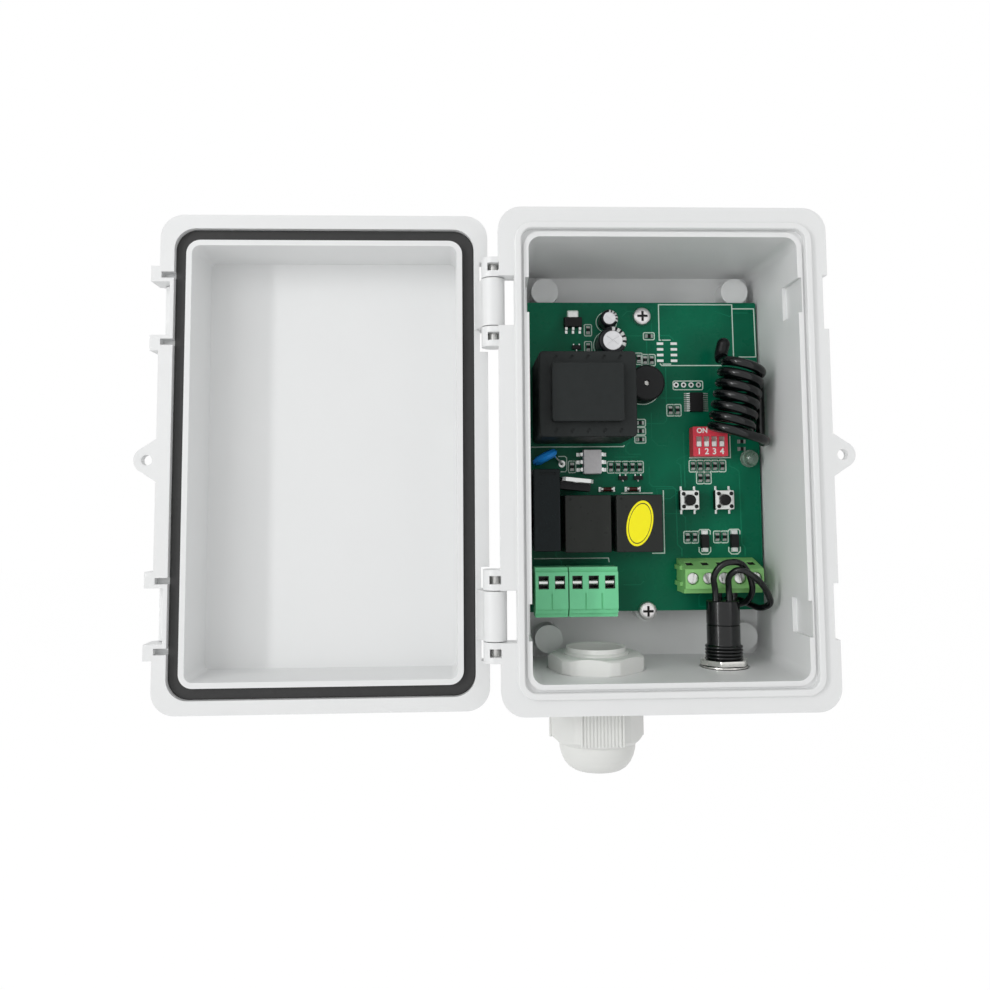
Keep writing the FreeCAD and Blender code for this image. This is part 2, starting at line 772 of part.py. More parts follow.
def chip_places():
    """Centres of the upright chip parts, then of those that lie level."""
    regulator_side = regulator_x + 5.1
    case_edge = transformer_x + transformer_width / 2
    case_top = transformer_z + transformer_length / 2
    upright_parts = [(regulator_side, regulator_z - 2.6), (regulator_side, regulator_z - 8.4),
                     (case_edge + 5.4, case_top + 1.6), (case_edge + 7.5, case_top + 1.1),
                     (case_edge + 9.8, case_top + 1.1),
                     (opto_x - 6.45, opto_z - 1.5), (chip_x - 8.8, chip_z - 2.7),
                     (chip_x - 6.4, chip_z - 2.7)]
    for i in range(5):
        upright_parts.append((dip_x + 2.5 * (i - 1.9), dip_z - 7.9))
        upright_parts.append((opto_x + 6.55 + 2.43 * i, opto_z - 1.7))
    for i in (-1, 0):
        upright_parts.append((dip_x + 0.15 + 2.5 * i, dip_z - 11.9))
    for x, z in diode_places:
        upright_parts.append((x - 5.5, z + 1.3))
        upright_parts.append((x - 3.05, z + 1.3))
    for x, z in upright_parts:
        yield x, z, False
    for i in range(3):
        yield case_edge + 5.4, case_top - 25.8 + 2.8 * i, True
    yield large_can_place[0] + 13.8, large_can_place[1] + 3.15, True
    for i in (0, 1):
        yield lamp_x - 2.2, lamp_z + 3.3 + 2.5 * i, True


def chip_parts():
    """Small chip resistors and capacitors, each soldered flat on the board."""
    out = []
    for x, z, level in chip_places():
        w = chip_part_length if level else chip_part_width
        h = chip_part_width if level else chip_part_length
        out.append(box(x - w / 2, x + w / 2, board_y, on_board(chip_part_height), z - h / 2, z + h / 2))
    return Part.makeCompound(out)


diode_places = ((19.5, -26.5), (29.5, -26.5))


def power_diodes():
    """Two upright surface diodes with a folded lead at each end."""
    out = []
    for x, z in diode_places:
        body = tapered(x, z, 2.7, 4.4, 0.1, on_board(0.1), on_board(2.2), 0.15)
        leads = [box(x - 0.75, x + 0.75, board_y, on_board(0.9), z + side * 2.0, z + side * 3.3)
                 for side in (1, -1)]
        out.append(single(fuse([body] + leads)))
    return Part.makeCompound(out)


glass_diode_places = ((-12.8, -9.1), (-4.1, -9.1))


def glass_diodes():
    """Two small cylindrical diodes lying level, with metal end caps."""
    out = []
    for x, z in glass_diode_places:
        y = on_board(0.8)
        glass = Part.makeCylinder(0.7, 3.4, V(x - 1.7, y, z), V(1, 0, 0))
        caps = [Part.makeCylinder(0.8, 0.6, V(x + dx, y, z), V(1, 0, 0)) for dx in (-2.0, 1.4)]
        out.append(single(fuse([glass] + caps)))
    return Part.makeCompound(out)


transistor_places = ((-7.4, -5.3), (-2.3, -5.3), (-22.3, 38.8))


def small_transistors():
    """Three legged transistors, two legs up and one down."""
    out = []
    for x, z in transistor_places:
        body = box(x - 1.45, x + 1.45, on_board(0.08), on_board(1.05), z - 0.65, z + 0.65)
        legs = [box(x + dx - 0.2, x + dx + 0.2, board_y, on_board(0.4), z + z0, z + z1)
                for dx, z0, z1 in ((-0.95, 0.5, 1.25), (0.95, 0.5, 1.25), (0.0, -1.25, -0.5))]
        out.append(single(fuse([body] + legs)))
    return Part.makeCompound(out)


# address switch block

dip_x = 21.1
dip_z = 6.4
dip_width = 11.6
dip_length = 9.8
dip_height = 5.4
dip_pitch = 2.54
dip_slot_width = 1.8
dip_slot_top = 8.1
dip_slot_bottom = 4.6
dip_slot_depth = 1.4
dip_slider_width = 1.5
dip_slider_length = 1.75
dip_slider_proud = 0.15
dip_end_gap = 0.1
dip_travel = dip_slot_top - dip_slot_bottom - dip_slider_length - 2 * dip_end_gap


def dip_places():
    """The x of the four sliders."""
    return [dip_x + dip_pitch * (i - 1.5) for i in range(4)]


def dip_body():
    """Red block of four slide switches, the slots open to the front."""
    body = slab(dip_x, dip_z, dip_width, dip_length, 0.2, on_board(0.4), on_board(dip_height))
    feet = []
    tools = []
    for x in dip_places():
        tools.append(box(x - dip_slot_width / 2, x + dip_slot_width / 2, on_board(dip_height) - 1,
                         on_board(dip_height - dip_slot_depth), dip_slot_bottom, dip_slot_top))
        for side in (1, -1):
            z = dip_z + side * 3.8
            feet.append(box(x - 0.3, x + 0.3, board_y, on_board(0.5), z - 0.3, z + 0.3))
    return cut(fuse([body] + feet), tools)


def dip_slider(x):
    """One slider, at the lower end of its slot."""
    low = dip_slot_bottom + dip_end_gap
    front = on_board(dip_height + dip_slider_proud)
    back = on_board(dip_height - dip_slot_depth + 0.05)
    foot = box(x - dip_slider_width / 2, x + dip_slider_width / 2, back, on_board(dip_height - 0.6),
               low, low + dip_slider_length)
    grip = box(x - dip_slider_width / 2 + 0.05, x + dip_slider_width / 2 - 0.05,
               on_board(dip_height - 0.7), front,
               low + 0.05, low + dip_slider_length - 0.05)
    return fuse([foot, grip])


# push buttons on the board

button_z = -12.9
button_places = (14.3, 26.0)
button_size = 6.2
button_height = 3.6
button_plunger_diameter = 3.5
button_plunger_proud = 1.4
button_travel = 0.3
button_rivet_inset = 2.1
button_rivet_diameter = 1.3
button_leg_inset = 2.25
button_leg_reach = 1.5


def button_body(x):
    """Square button with a metal face, four rivets and four bent legs."""
    half = button_size / 2
    top = on_board(button_height)
    body = slab(x, button_z, button_size, button_size, 0.25, on_board(0.1), top + 0.4)
    plate = slab(x, button_z, button_size - 0.2, button_size - 0.2, 0.3, top + 0.45, top)
    rivets = []
    legs = []
    for sx in (1, -1):
        for sz in (1, -1):
            rivets.append(pillar(x + sx * button_rivet_inset, button_z + sz * button_rivet_inset,
                                 button_rivet_diameter / 2,
                                 top + 0.2, top - 0.25))
            at = x + sx * button_leg_inset
            edge = button_z + sz * half
            legs.append(box(at - 0.35, at + 0.35, board_y, on_board(0.3),
                            edge - sz * 0.3, edge + sz * button_leg_reach))
            legs.append(box(at - 0.35, at + 0.35, board_y, on_board(1.5), edge - sz * 0.1, edge + sz * 0.25))
    body = fuse([body, plate] + rivets + legs)
    bore = pillar(x, button_z, button_plunger_diameter / 2 + 0.08, top - 1, top + button_height - 1.0)
    return cut(body, [bore])


def button_plunger(x):
    """Round plunger with its gap behind for the stroke."""
    front = on_board(button_height + button_plunger_proud)
    back = on_board(1.0 + button_travel + 0.15)
    r = button_plunger_diameter / 2
    return lathe_y(x, button_z, [(0.001, back), (r, back), (r, front + 0.25),
                                 (r - 0.25, front), (0.001, front)])


# relays and their neighbours

relay_height = 15.5
relay_width = 14.9
relay_length = 18.3
relay_z = -20.2
relay_places = (-21.2, -4.85)


def relay(x):
    """Sealed relay: drafted case, a vent mark and four standing feet."""
    y1 = on_board(relay_height)
    case = tapered(x, relay_z, relay_width, relay_length, 0.5, on_board(0.3), y1, 0.12)
    case = round_edges(case, 0.35, lambda e: e.BoundBox.YMax < y1 + 0.01)
    feet = [pillar(x + sx * 5.5, relay_z + sz * 7.5, 0.6, board_y, on_board(0.5))
            for sx in (1, -1) for sz in (1, -1)]
    vent = pillar(x - relay_width / 2 + 1.8, relay_z + relay_length / 2 - 1.4, 0.45, y1 - 1, y1 + 0.4)
    return cut(fuse([case] + feet), [vent])


sticker_width = 8.2
sticker_length = 14.6
sticker_turn = 13.0
sticker_thickness = 0.12
sticker_offset = 0.0


def relay_sticker():
    """Oval paper sticker on the face of the right relay."""
    x = relay_places[1] + sticker_offset
    y = on_board(relay_height)
    ellipse = Part.Ellipse(V(x, y, relay_z), sticker_length / 2, sticker_width / 2)
    edge = Part.Edge(ellipse)
    edge.rotate(V(x, y, relay_z), V(1, 0, 0), 90)
    edge.rotate(V(x, y, relay_z), V(0, 1, 0), -90 + sticker_turn)
    face = Part.Face(Part.Wire([edge]))
    return face.extrude(V(0, -sticker_thickness, 0))


block_x = -34.4
block_z = -15.8
block_width = 8.6
block_length = 26.0
block_height = 18.0


def film_capacitor():
    """Boxed capacitor beside the relays, with a moulded slot in its face."""
    y1 = on_board(block_height)
    case = tapered(block_x, block_z, block_width, block_length, 0.6, on_board(0.3), y1, 0.1)
    case = round_edges(case, 0.4, lambda e: e.BoundBox.YMax < y1 + 0.01)
    feet = [box(block_x - 1, block_x + 1, board_y, on_board(0.5),
                block_z + s * 11 - 0.8, block_z + s * 11 + 0.8)
            for s in (1, -1)]
    slot_z = block_z + block_length / 2 - 1.6
    slot = box(block_x - 2.4, block_x + 2.8, y1 - 1, y1 + 0.6, slot_z - 0.5, slot_z + 0.5)
    return cut(fuse([case] + feet), [slot])


disc_centre = (-34.0, 1.35)
disc_diameter = 9.0
disc_thickness = 3.0
disc_turn = 29.0
disc_lead_diameter = 0.6
disc_lead_hole = (-27.7, -0.5)


def disc_capacitor():
    """Blue dipped disc standing on its two leads, turned across the board."""
    x, z = disc_centre
    r = disc_diameter / 2
    lift = 2.6
    y = on_board(lift + r)
    t = disc_thickness / 2
    profile = [(0.001, -t), (r * 0.55, -t), (r * 0.88, -t * 0.66), (r, 0),
               (r * 0.88, t * 0.66), (r * 0.55, t),
               (0.001, t)]
    corners = [V(x + a, y, z + b) for a, b in profile]
    poly = Part.makePolygon(corners + corners[:1])
    disc = Part.Face(poly).revolve(V(x, y, z), V(0, 0, 1), 360)
    lead_r = disc_lead_diameter / 2
    body = fuse([disc, pillar(x - 2.5, z, lead_r, board_y, on_board(lift + 1.4))])
    body.rotate(V(x, y, z), V(0, 1, 0), -disc_turn)
    turn = math.radians(disc_turn)
    root = V(x + 2.9 * math.cos(turn), on_board(lift + 1.6), z + 2.9 * math.sin(turn))
    knee = V(disc_lead_hole[0], on_board(1.0), disc_lead_hole[1])
    slant = Part.makeCylinder(lead_r, (root - knee).Length, knee, root - knee)
    foot = pillar(*disc_lead_hole, lead_r, board_y, on_board(1.0))
    return fuse([body, slant, foot, Part.makeSphere(lead_r, knee)])


opto_x = -17.85
opto_z = 0.0
opto_width = 6.2
opto_length = 8.2
opto_height = 3.9


def optocoupler():
    """White six legged coupler, legs folded down to the board."""
    body = tapered(opto_x, opto_z, opto_width, opto_length, 0.2, on_board(0.5), on_board(opto_height), 0.2)
    legs = []
    for i in (-1, 0, 1):
        z = opto_z + 2.54 * i
        for side in (1, -1):
            root = opto_x + side * (opto_width / 2 - 0.3)
            tip = opto_x + side * (opto_width / 2 + 0.75)
            legs.append(box(root, tip, on_board(2.0), on_board(2.25), z - 0.6, z + 0.6))
            legs.append(box(tip - side * 0.25, tip, board_y, on_board(2.25), z - 0.3, z + 0.3))
    return fuse([body] + legs)


triac_x = -24.85
triac_z = -8.3
triac_width = 9.8
triac_lift = 4.0
triac_body_height = 9.0
triac_tab_height = 15.6
triac_tab_thickness = 1.2
triac_body_thickness = 2.4
triac_corner = 1.15
triac_turn = 6.0


def power_transistor():
    """Three legged power device standing on its legs, metal tab to the top side."""
    hw = triac_width / 2
    tab_back = triac_z + triac_body_thickness / 2
    body = box(triac_x - hw, triac_x + hw, on_board(triac_lift), on_board(triac_lift + triac_body_height),
               triac_z - triac_body_thickness / 2, tab_back)
    tab = box(triac_x - hw, triac_x + hw, on_board(triac_lift), on_board(triac_lift + triac_tab_height),
              tab_back - 0.02, tab_back + triac_tab_thickness)
    tip = on_board(triac_lift + triac_tab_height)
    for side in (1, -1):
        corner = [(triac_x + side * (hw + 0.1), tip - 0.1), (triac_x + side * (hw + 0.1), tip + triac_corner),
                  (triac_x + side * (hw - triac_corner), tip - 0.1)]
        tab = tab.cut(extrude_z(corner, tab_back - 1, tab_back + triac_tab_thickness + 1))
    hole_y = on_board(triac_lift + triac_tab_height - 2.8)
    hole = Part.makeCylinder(1.8, 6, V(triac_x, hole_y, tab_back - 2), V(0, 0, 1))
    legs = [box(triac_x + dx - 0.4, triac_x + dx + 0.4, board_y, on_board(triac_lift + 0.5),
                triac_z - 0.25, triac_z + 0.25) for dx in (-2.54, 0, 2.54)]
    whole = cut(fuse([body, tab] + legs), [hole])
    whole.rotate(V(triac_x, 0, triac_z), V(0, 1, 0), triac_turn)
    return whole


lamp_x = 35.3
lamp_z = 0.9
lamp_diameter = 5.0
lamp_height = 5.2


def indicator_lamp():
    """Clear round lamp: rim, barrel and domed end."""
    r = lamp_diameter / 2
    tip = on_board(lamp_height)
    arc = []
    for i in range(5):
        a = math.radians(22.5 * i)
        arc.append((max(r * math.cos(a), 0.001), tip + r - r * math.sin(a)))
    body = lathe_y(lamp_x, lamp_z, [(0.001, on_board(0.3)), (r + 0.45, on_board(0.3)),
                                    (r + 0.45, on_board(1.3)),
                                    (r, on_board(1.3))] + arc)
    legs = [pillar(lamp_x, lamp_z + dz, 0.25, board_y, on_board(0.6)) for dz in (-1.27, 1.27)]
    return fuse([body] + legs)


# plug-in mains and motor terminals

terminal_pitch = 5.08
plug_left_x = -38.3
plug_top_z = -33.6
plug_length = 15.4
plug_front = 18.7
plug_seat = 8.2
plug_gap = 0.35
plug_bar_radius = 0.85
plug_bar_depth = 2.3
header_wall = 1.1
header_height = 8.6
header_inset_top = 1.6
header_inset_bottom = 2.6
plug_travel = 9.0
plug_window_width = 3.2
plug_window_length = 4.1
plug_window_depth = 7.6
plug_window_drop = 4.6


def plug_span(first, ways):
    """Left and right side of a plug that starts at a way number."""
    left = plug_left_x + terminal_pitch * first + (plug_gap if first else 0.0)
    return left, left + terminal_pitch * ways


def terminal_header(first, ways):
    """Shrouded header soldered to the board, open to the front, with its pins."""
    left, right = plug_span(first, ways)
    top = plug_top_z - header_inset_top
    low = plug_top_z - plug_length + header_inset_bottom
    shell = box(left + 0.1, right - 0.1, board_y, on_board(header_height), low, top)
    hollow = box(left + 0.1 + header_wall * 0.6, right - 0.1 - header_wall * 0.6, on_board(2.0),
                 on_board(header_height) - 1, low + header_wall, top - header_wall)
    body = shell.cut(hollow)
    pins = []
    mid = (top + low) / 2
    for i in range(ways):
        x = left + terminal_pitch * (i + 0.5)
        pins.append(box(x - 0.5, x + 0.5, on_board(1.0), on_board(7.6), mid - 0.5, mid + 0.5))
    return fuse([body] + pins)


def terminal_plug(first, ways):
    """Plug in the header: stepped block with a wire window over each way."""
    left, right = plug_span(first, ways)
    top = plug_top_z
    low = plug_top_z - plug_length
    front = on_board(plug_front)
    shoulder = on_board(plug_seat + 0.7)
    step = 1.4
    profile = [(top - header_inset_top - header_wall - 0.2, on_board(3.0)),
               (top - header_inset_top - header_wall - 0.2, shoulder), (top, shoulder), (top, front + 1.2),
               (top - step, front + 1.2), (top - step, front), (low + 2.6, front), (low + 2.6, front + 0.8),
               (low + 1.3, front + 0.8), (low + 1.3, front + 1.8), (low, front + 1.8), (low, shoulder),
               (low + header_inset_bottom + header_wall + 0.2, shoulder),
               (low + header_inset_bottom + header_wall + 0.2, on_board(3.0))]
    slim = header_wall * 0.6 + 0.3
    core = extrude_x(profile, left + slim, right - slim)
    block = extrude_x([p for p in profile if p[1] <= shoulder + 0.001], left, right)
    body = fuse([core, block])
    tools = []
    mid = (2 * plug_top_z - header_inset_top - plug_length + header_inset_bottom) / 2
    for i in range(ways):
        x = left + terminal_pitch * (i + 0.5)
        z = plug_top_z - plug_window_drop
        hw = plug_window_width / 2
        hl = plug_window_length / 2
        tools.append(box(x - hw, x + hw, front - 1, front + plug_window_depth, z - hl, z + hl))
        tools.append(box(x - 0.7, x + 0.7, on_board(2.0), on_board(8.2), mid - 0.7, mid + 0.7))
        tools.append(Part.makeCylinder(1.7, 3.0, V(x, front + 5.0, low - 1), V(0, 0, 1)))
    for i in range(1, ways):
        x = left + terminal_pitch * i
        tools.append(box(x - 0.25, x + 0.25, front - 1, front + 0.35, low + 2.6, plug_top_z - 8.0))
    return cut(body, tools)


def plug_clamps(first, ways):
    """Wire clamps in the windows and the screw heads in the lower face."""
    left, right = plug_span(first, ways)
    low = plug_top_z - plug_length
    front = on_board(plug_front)
    out = []
    for i in range(ways):
        x = left + terminal_pitch * (i + 0.5)
        z = plug_top_z - plug_window_drop
        hw = plug_window_width / 2 - 0.03
        hl = plug_window_length / 2 - 0.03
        back = front + plug_window_depth - 0.03
        cage = box(x - hw, x + hw, front + 0.9, back, z - hl, z + hl)
        mouth = box(x - hw + 0.2, x + hw - 0.2, front, back - 0.3, z - hl + 0.2, z + hl - 0.2)
        start = V(x - hw + 0.1, front + plug_bar_depth, z - 0.15)
        bar = Part.makeCylinder(plug_bar_radius, 2 * hw - 0.2, start, V(1, 0, 0))
        head = Part.makeCylinder(1.6, 1.2, V(x, front + 5.0, low + 0.6), V(0, 0, 1))
        slot = box(x - 2, x + 2, front + 4.7, front + 5.3, low, low + 1.1)
        out.append(single(fuse([cut(cage, [mouth]), bar])))
        out.append(single(cut(head, [slot])))
    return Part.makeCompound(out)


# five way screw terminal

strip_left_x = 10.1
strip_top_z = -32.1
strip_depth = 10.7
strip_slope = 2.9
strip_ledge = 1.6
strip_entry_depth = 3.0
strip_ways = 5
strip_height = 12.0
strip_screw_z = -38.0
strip_screw_diameter = 3.4


def strip_way(i):
    """The x of one way of the screw terminal."""
    return strip_left_x + terminal_pitch * (i + 0.5)


def five_way_terminal():
    """Screw terminal: bevelled back, flat screw deck, stepped entry side, dovetail end."""
    right = strip_left_x + terminal_pitch * strip_ways
    z0 = strip_top_z
    front = on_board(strip_height)
    end = z0 - strip_depth
    deck_end = end + strip_ledge
    profile = [(z0, board_y), (z0, on_board(0.8)), (z0 - strip_slope, front), (deck_end, front),
               (deck_end, front + 1.6), (end, front + 2.2), (end, board_y)]
    body = extrude_x(profile, strip_left_x, right)
    tail = extrude_z([(strip_left_x + 0.05, board_y), (strip_left_x + 0.05, on_board(8.0)),
                      (strip_left_x - 0.7, on_board(7.4)), (strip_left_x - 0.7, board_y)], z0 - 8.6, z0 - 7.2)
    second = tail.copy()
    second.translate(V(0, 0, 5.2))
    body = fuse([body, tail, second])
    tools = []
    for i in range(strip_ways):
        x = strip_way(i)
        tools.append(pillar(x, strip_screw_z, strip_screw_diameter / 2 + 0.25, front - 1, front + 3.0))
        tools.append(box(x - 1.7, x + 1.7, on_board(6.6), on_board(2.8), end - 1, end + strip_entry_depth))
        tools.append(box(x - 1.1, x + 1.1, on_board(8.2), on_board(4.4), z0 - 4.2, z0 + 1))
    return cut(body, tools)


def strip_screws():
    """Slotted screws sunk in the deck, one a way."""
    out = []
    front = on_board(strip_height)
    for i in range(strip_ways):
        x = strip_way(i)
        head = pillar(x, strip_screw_z, strip_screw_diameter / 2, front + 0.7, front + 2.9)
        slot = box(x - 0.3, x + 0.3, front - 1, front + 1.5, strip_screw_z - 3, strip_screw_z + 3)
        turned = slot.copy()
        turned.rotate(V(x, front, strip_screw_z), V(0, 1, 0), 12 - 24 * (i % 2))
        out.append(single(cut(head, [turned])))
    return Part.makeCompound(out)


def strip_clamps():
    """Metal clamp cages seen in the wire entries."""
    out = []
    for i in range(strip_ways):
        x = strip_way(i)
        end = strip_top_z - strip_depth
        cage = box(x - 1.65, x + 1.65, on_board(6.55), on_board(2.85), end + 0.4, end + strip_entry_depth)
        mouth = box(x - 1.2, x + 1.2, on_board(6.1), on_board(3.3), end, end + strip_entry_depth - 0.4)
        out.append(single(cut(cage, [mouth])))
    return Part.makeCompound(out)


# antenna coil: one unbroken wire in arcs that meet tangentially

def unit(v):
    """The vector at length one."""
    w = V(v)
    w.normalize()
    return w


def biarc(p0, t0, p1, t1):
    """Two arcs from p0 to p1 that leave along t0 and arrive along t1."""
    v = p1 - p0
    t = t0 + t1
    a = 2 * (1 - t0.dot(t1))
    b = 2 * v.dot(t)
    c = v.dot(v)
    if abs(a) < 1e-9:
        d = c / b
    else:
        d = (-b + math.sqrt(b * b + 4 * a * c)) / (2 * a)
    q0 = p0 + t0 * d
    q1 = p1 - t1 * d
    mid = (q0 + q1) * 0.5
    return [arc_through(p0, t0, mid), arc_through(mid, unit(q1 - q0), p1)]


def arc_through(start, tangent, end):
    """Arc from start along a tangent to end."""
    chord = end - start
    side = chord - tangent * chord.dot(tangent)
    if side.Length < 1e-6 * chord.Length:
        return Part.makeLine(start, end)
    side.normalize()
    half = math.atan2(chord.dot(side), chord.dot(tangent))
    radius = chord.Length / (2 * math.sin(half))
    centre = start + side * radius
    mid = centre + (tangent * math.sin(half) - side * math.cos(half)) * radius
    return Part.Arc(start, mid, end).toShape()


def coil_frame():
    """Origin, axis, and the two directions across the coil."""
    lean = math.radians(coil_lean_degrees)
    axis = V(-math.sin(lean), 0, -math.cos(lean))
    across = V(math.cos(lean), 0, -math.sin(lean))
    front = V(0, -1, 0)
    origin = V(coil_top[0], on_board(coil_height_over_board), coil_top[1])
    return origin, axis, across, front


def coil_point(turn):
    """A point of the wire's helix and its tangent at a number of turns; the front runs to the right."""
    origin, axis, across, front = coil_frame()
    r = (coil_outer_diameter - coil_wire_diameter) / 2
    a = 2 * math.pi * turn
    p = origin + axis * (coil_pitch * turn) - across * (r * math.cos(a)) + front * (r * math.sin(a))
    d = axis * (coil_pitch / (2 * math.pi)) + across * (r * math.sin(a)) + front * (r * math.cos(a))
    return p, unit(d)


def stub_direction():
    """Direction in which the free end of the antenna points."""
    return unit(V(coil_stub_lean, 0, 1))


def antenna_path():
    """Free end, turns, riser beside them and foot of the antenna as tangent arcs."""
    p, t = coil_point(0)
    up = stub_direction()
    neck = p + V(0.15, coil_bend, coil_bend * 1.05)
    edges = [Part.makeLine(neck + up * coil_stub_length, neck)]
    edges += biarc(neck, up * -1, p, t)
    for i in range(coil_turns * 4 + 1):
        q, u = coil_point((i + 1) / 4)
        edges += biarc(p, t, q, u)
        p, t = q, u
    back = V(0, 1, 0)
    rise = V(0, 0, 1)
    low = V(coil_riser_x, on_board(coil_riser_height + coil_bend), coil_riser_low)
    base = low + back * coil_bend + rise * coil_bend
    top = V(coil_riser_x, base.y, coil_riser_top)
    bend_end = top + rise * coil_bend + back * coil_bend
    edges += biarc(p, t, low, back)
    edges += biarc(low, back, base, rise)
    edges.append(Part.makeLine(base, top))
    edges += biarc(top, rise, bend_end, back)
    edges.append(Part.makeLine(bend_end, V(bend_end.x, board_y, bend_end.z)))
    return edges


def antenna_cap():
    """Shrunk sleeve with a closed round end over the antenna's free end and the start of its bend."""
    edges = antenna_path()[:2]
    tip = edges[0].Vertexes[0].Point
    up = stub_direction()
    r = coil_cap_diameter / 2
    wire = Part.Wire(edges)
    skins = []
    for radius in (r, coil_wire_diameter / 2):
        ring = Part.Wire([Part.makeCircle(radius, tip, up)])
        skins.append(wire.makePipeShell([ring], True, False))
    return skins[0].cut(skins[1]).fuse(round_end(tip, up, r))


def round_end(tip, up, radius):
    """Half ball on the end of the antenna's sleeve."""
    ball = Part.makeSphere(radius, tip)
    return ball.cut(Part.makeCylinder(radius + 1, radius + 1, tip, up * -1))


def wire_gap(edges, diameter):
    """Least gap of a wire to itself, measured on points a diameter and more apart along it."""
    pts = []
    run = 0.0
    for e in edges:
        n = max(int(e.Length / 0.5), 2)
        for i in range(n):
            pts.append((run + e.Length * i / n, e.valueAt(e.getParameterByLength(e.Length * i / n))))
        run += e.Length
    least = 1e9
    for i, (si, a) in enumerate(pts):
        for sj, b in pts[i + 1:]:
            if sj - si > 3.2 * diameter:
                least = min(least, a.distanceToPoint(b))
    return least - diameter


def tube(edges, diameter):
    """Round wire swept along tangent edges."""
    path = Part.Wire(edges)
    first = path.Edges[0]
    start = first.valueAt(first.FirstParameter)
    tangent = first.tangentAt(first.FirstParameter)
    ring = Part.Wire([Part.makeCircle(diameter / 2, start, tangent)])
    solid = path.makePipeShell([ring], True, False)
    radii = [round(e.Curve.Radius, 2) for e in path.Edges if hasattr(e.Curve, "Radius")]
    want = math.pi * diameter ** 2 / 4 * path.Length
    print("  tube length", round(path.Length, 1), "least radius", min(radii), "volume to section x length",
          round(solid.Volume / want, 3), "radii", radii[:4], radii[-8:])
    return solid


def antenna_coil():
    """Antenna of stiff insulated wire, from its free end to its foot on the board."""
    edges = antenna_path()
    print("  coil gap to itself", round(wire_gap(edges, coil_wire_diameter), 2))
    return tube(edges, coil_wire_diameter)


def cord_edges(points):
    """Straight runs joined by the largest tangent arcs that the runs allow."""
    pts = [V(*p) for p in points]
    edges = []
    at = pts[0]
    radii = []
    for i in range(1, len(pts) - 1):
        a = unit(pts[i] - pts[i - 1])
        b = unit(pts[i + 1] - pts[i])
        turn = a.getAngle(b)
        run = min((pts[i] - pts[i - 1]).Length, (pts[i + 1] - pts[i]).Length)
        back = 0.45 * run
        radius = back / math.tan(turn / 2)
        radii.append(round(radius, 1))
        p = pts[i] - a * back
        q = pts[i] + b * back
        edges.append(Part.makeLine(at, p))
        edges.append(arc_through(p, a, q))
        at = q
    edges.append(Part.makeLine(at, pts[-1]))
    print("  arc radii", radii)
    return edges


def switch_end():
    """The z of the switch's inner end, where its wires leave."""
    return switch_seat() + switch_thread_length + switch_body_length


def entry_end(way):
    """Where a wire ends, inside the clamp of one way of the terminal."""
    return strip_way(way), on_board(strip_entry_height), strip_top_z - strip_depth + strip_entry_depth - 0.6


def left_switch_wire():
    """Wire that arches over the terminal, passes behind the other and enters the fourth way."""
    x, y, z = entry_end(3)
    low = switch_end()
    root = -switch_depth - switch_wire_lead
    route = [(switch_x - 3.0, root, low), (switch_x - 3.0, root, low + 3.4),
             (switch_x - 4.5, on_board(17.4), low + 8.0), (switch_x - 1.8, on_board(19.4), low + 12.2),
             (switch_x + 4.0, on_board(19.0), low + 12.5), (switch_x + 7.6, on_board(16.2), low + 8.4),
             (switch_x + 9.2, on_board(14.6), low + 3.2), (switch_x + 8.6, on_board(10.2), low - 0.9),
             (x, y, low - 2.5), (x, y, z)]
    return tube(cord_edges(route), switch_wire_diameter)


def right_switch_wire():
    """Wire that runs over the other, loops past the terminal's end and returns behind it to the third way."""
    x, y, z = entry_end(2)
    low = switch_end()
    root = -switch_depth - switch_wire_lead
    route = [(switch_x + 1.3, root, low), (switch_x + 1.3, root, low + 3.6),
             (switch_x + 0.3, on_board(17.6), low + 8.0), (switch_x + 3.2, on_board(20.6), low + 10.6),
             (switch_x + 8.6, on_board(20.6), low + 7.4), (switch_x + 12.6, on_board(17.2), low + 3.4),
             (switch_x + 15.2, on_board(14.0), low - 1.3), (switch_x + 12.4, on_board(10.6), low - 3.1),
             (switch_x + 8.2, on_board(3.2), low - 0.9), (switch_x + 4.6, on_board(2.1), low - 0.6),
             (x, y, low - 1.6), (x, y, z)]
    return tube(cord_edges(route), switch_wire_diameter)


# panel push switch

def switch_seat():
    """The z of the spot face under the switch's nut."""
    return bottom_inner_z + seat_rise


def switch_body():
    """Threaded sleeve, bezel outside the box and the plain body inside it."""
    seat_out = bottom_outer_z - pad_rise + 0.2
    top = switch_end()
    r = switch_body_diameter / 2
    rt = switch_thread_diameter / 2
    seam = top - switch_body_length * 0.56
    thread_top = top - switch_body_length
    outline = [(switch_button_diameter / 2 + 0.1, seat_out - switch_bezel_thickness),
               (switch_bezel_diameter / 2 - 0.6, seat_out - switch_bezel_thickness),
               (switch_bezel_diameter / 2, seat_out - switch_bezel_thickness + 0.6),
               (switch_bezel_diameter / 2, seat_out), (rt, seat_out)]
    teeth = 7
    step = (thread_top - switch_seat()) / teeth
    for i in range(teeth):
        z = switch_seat() + step * i
        outline += [(rt, z), (rt, z + step * 0.45), (rt - 0.55, z + step * 0.75)]
    outline += [(r, thread_top), (r, seam - 0.15), (r - 0.3, seam - 0.1), (r - 0.3, seam + 0.1),
                (r, seam + 0.15),
                (r, top - 0.3), (r - 0.3, top), (0.001, top), (0.001, seat_out + 4),
                (switch_button_diameter / 2 + 0.1, seat_out + 4)]
    return lathe_z(switch_x, -switch_depth, outline)


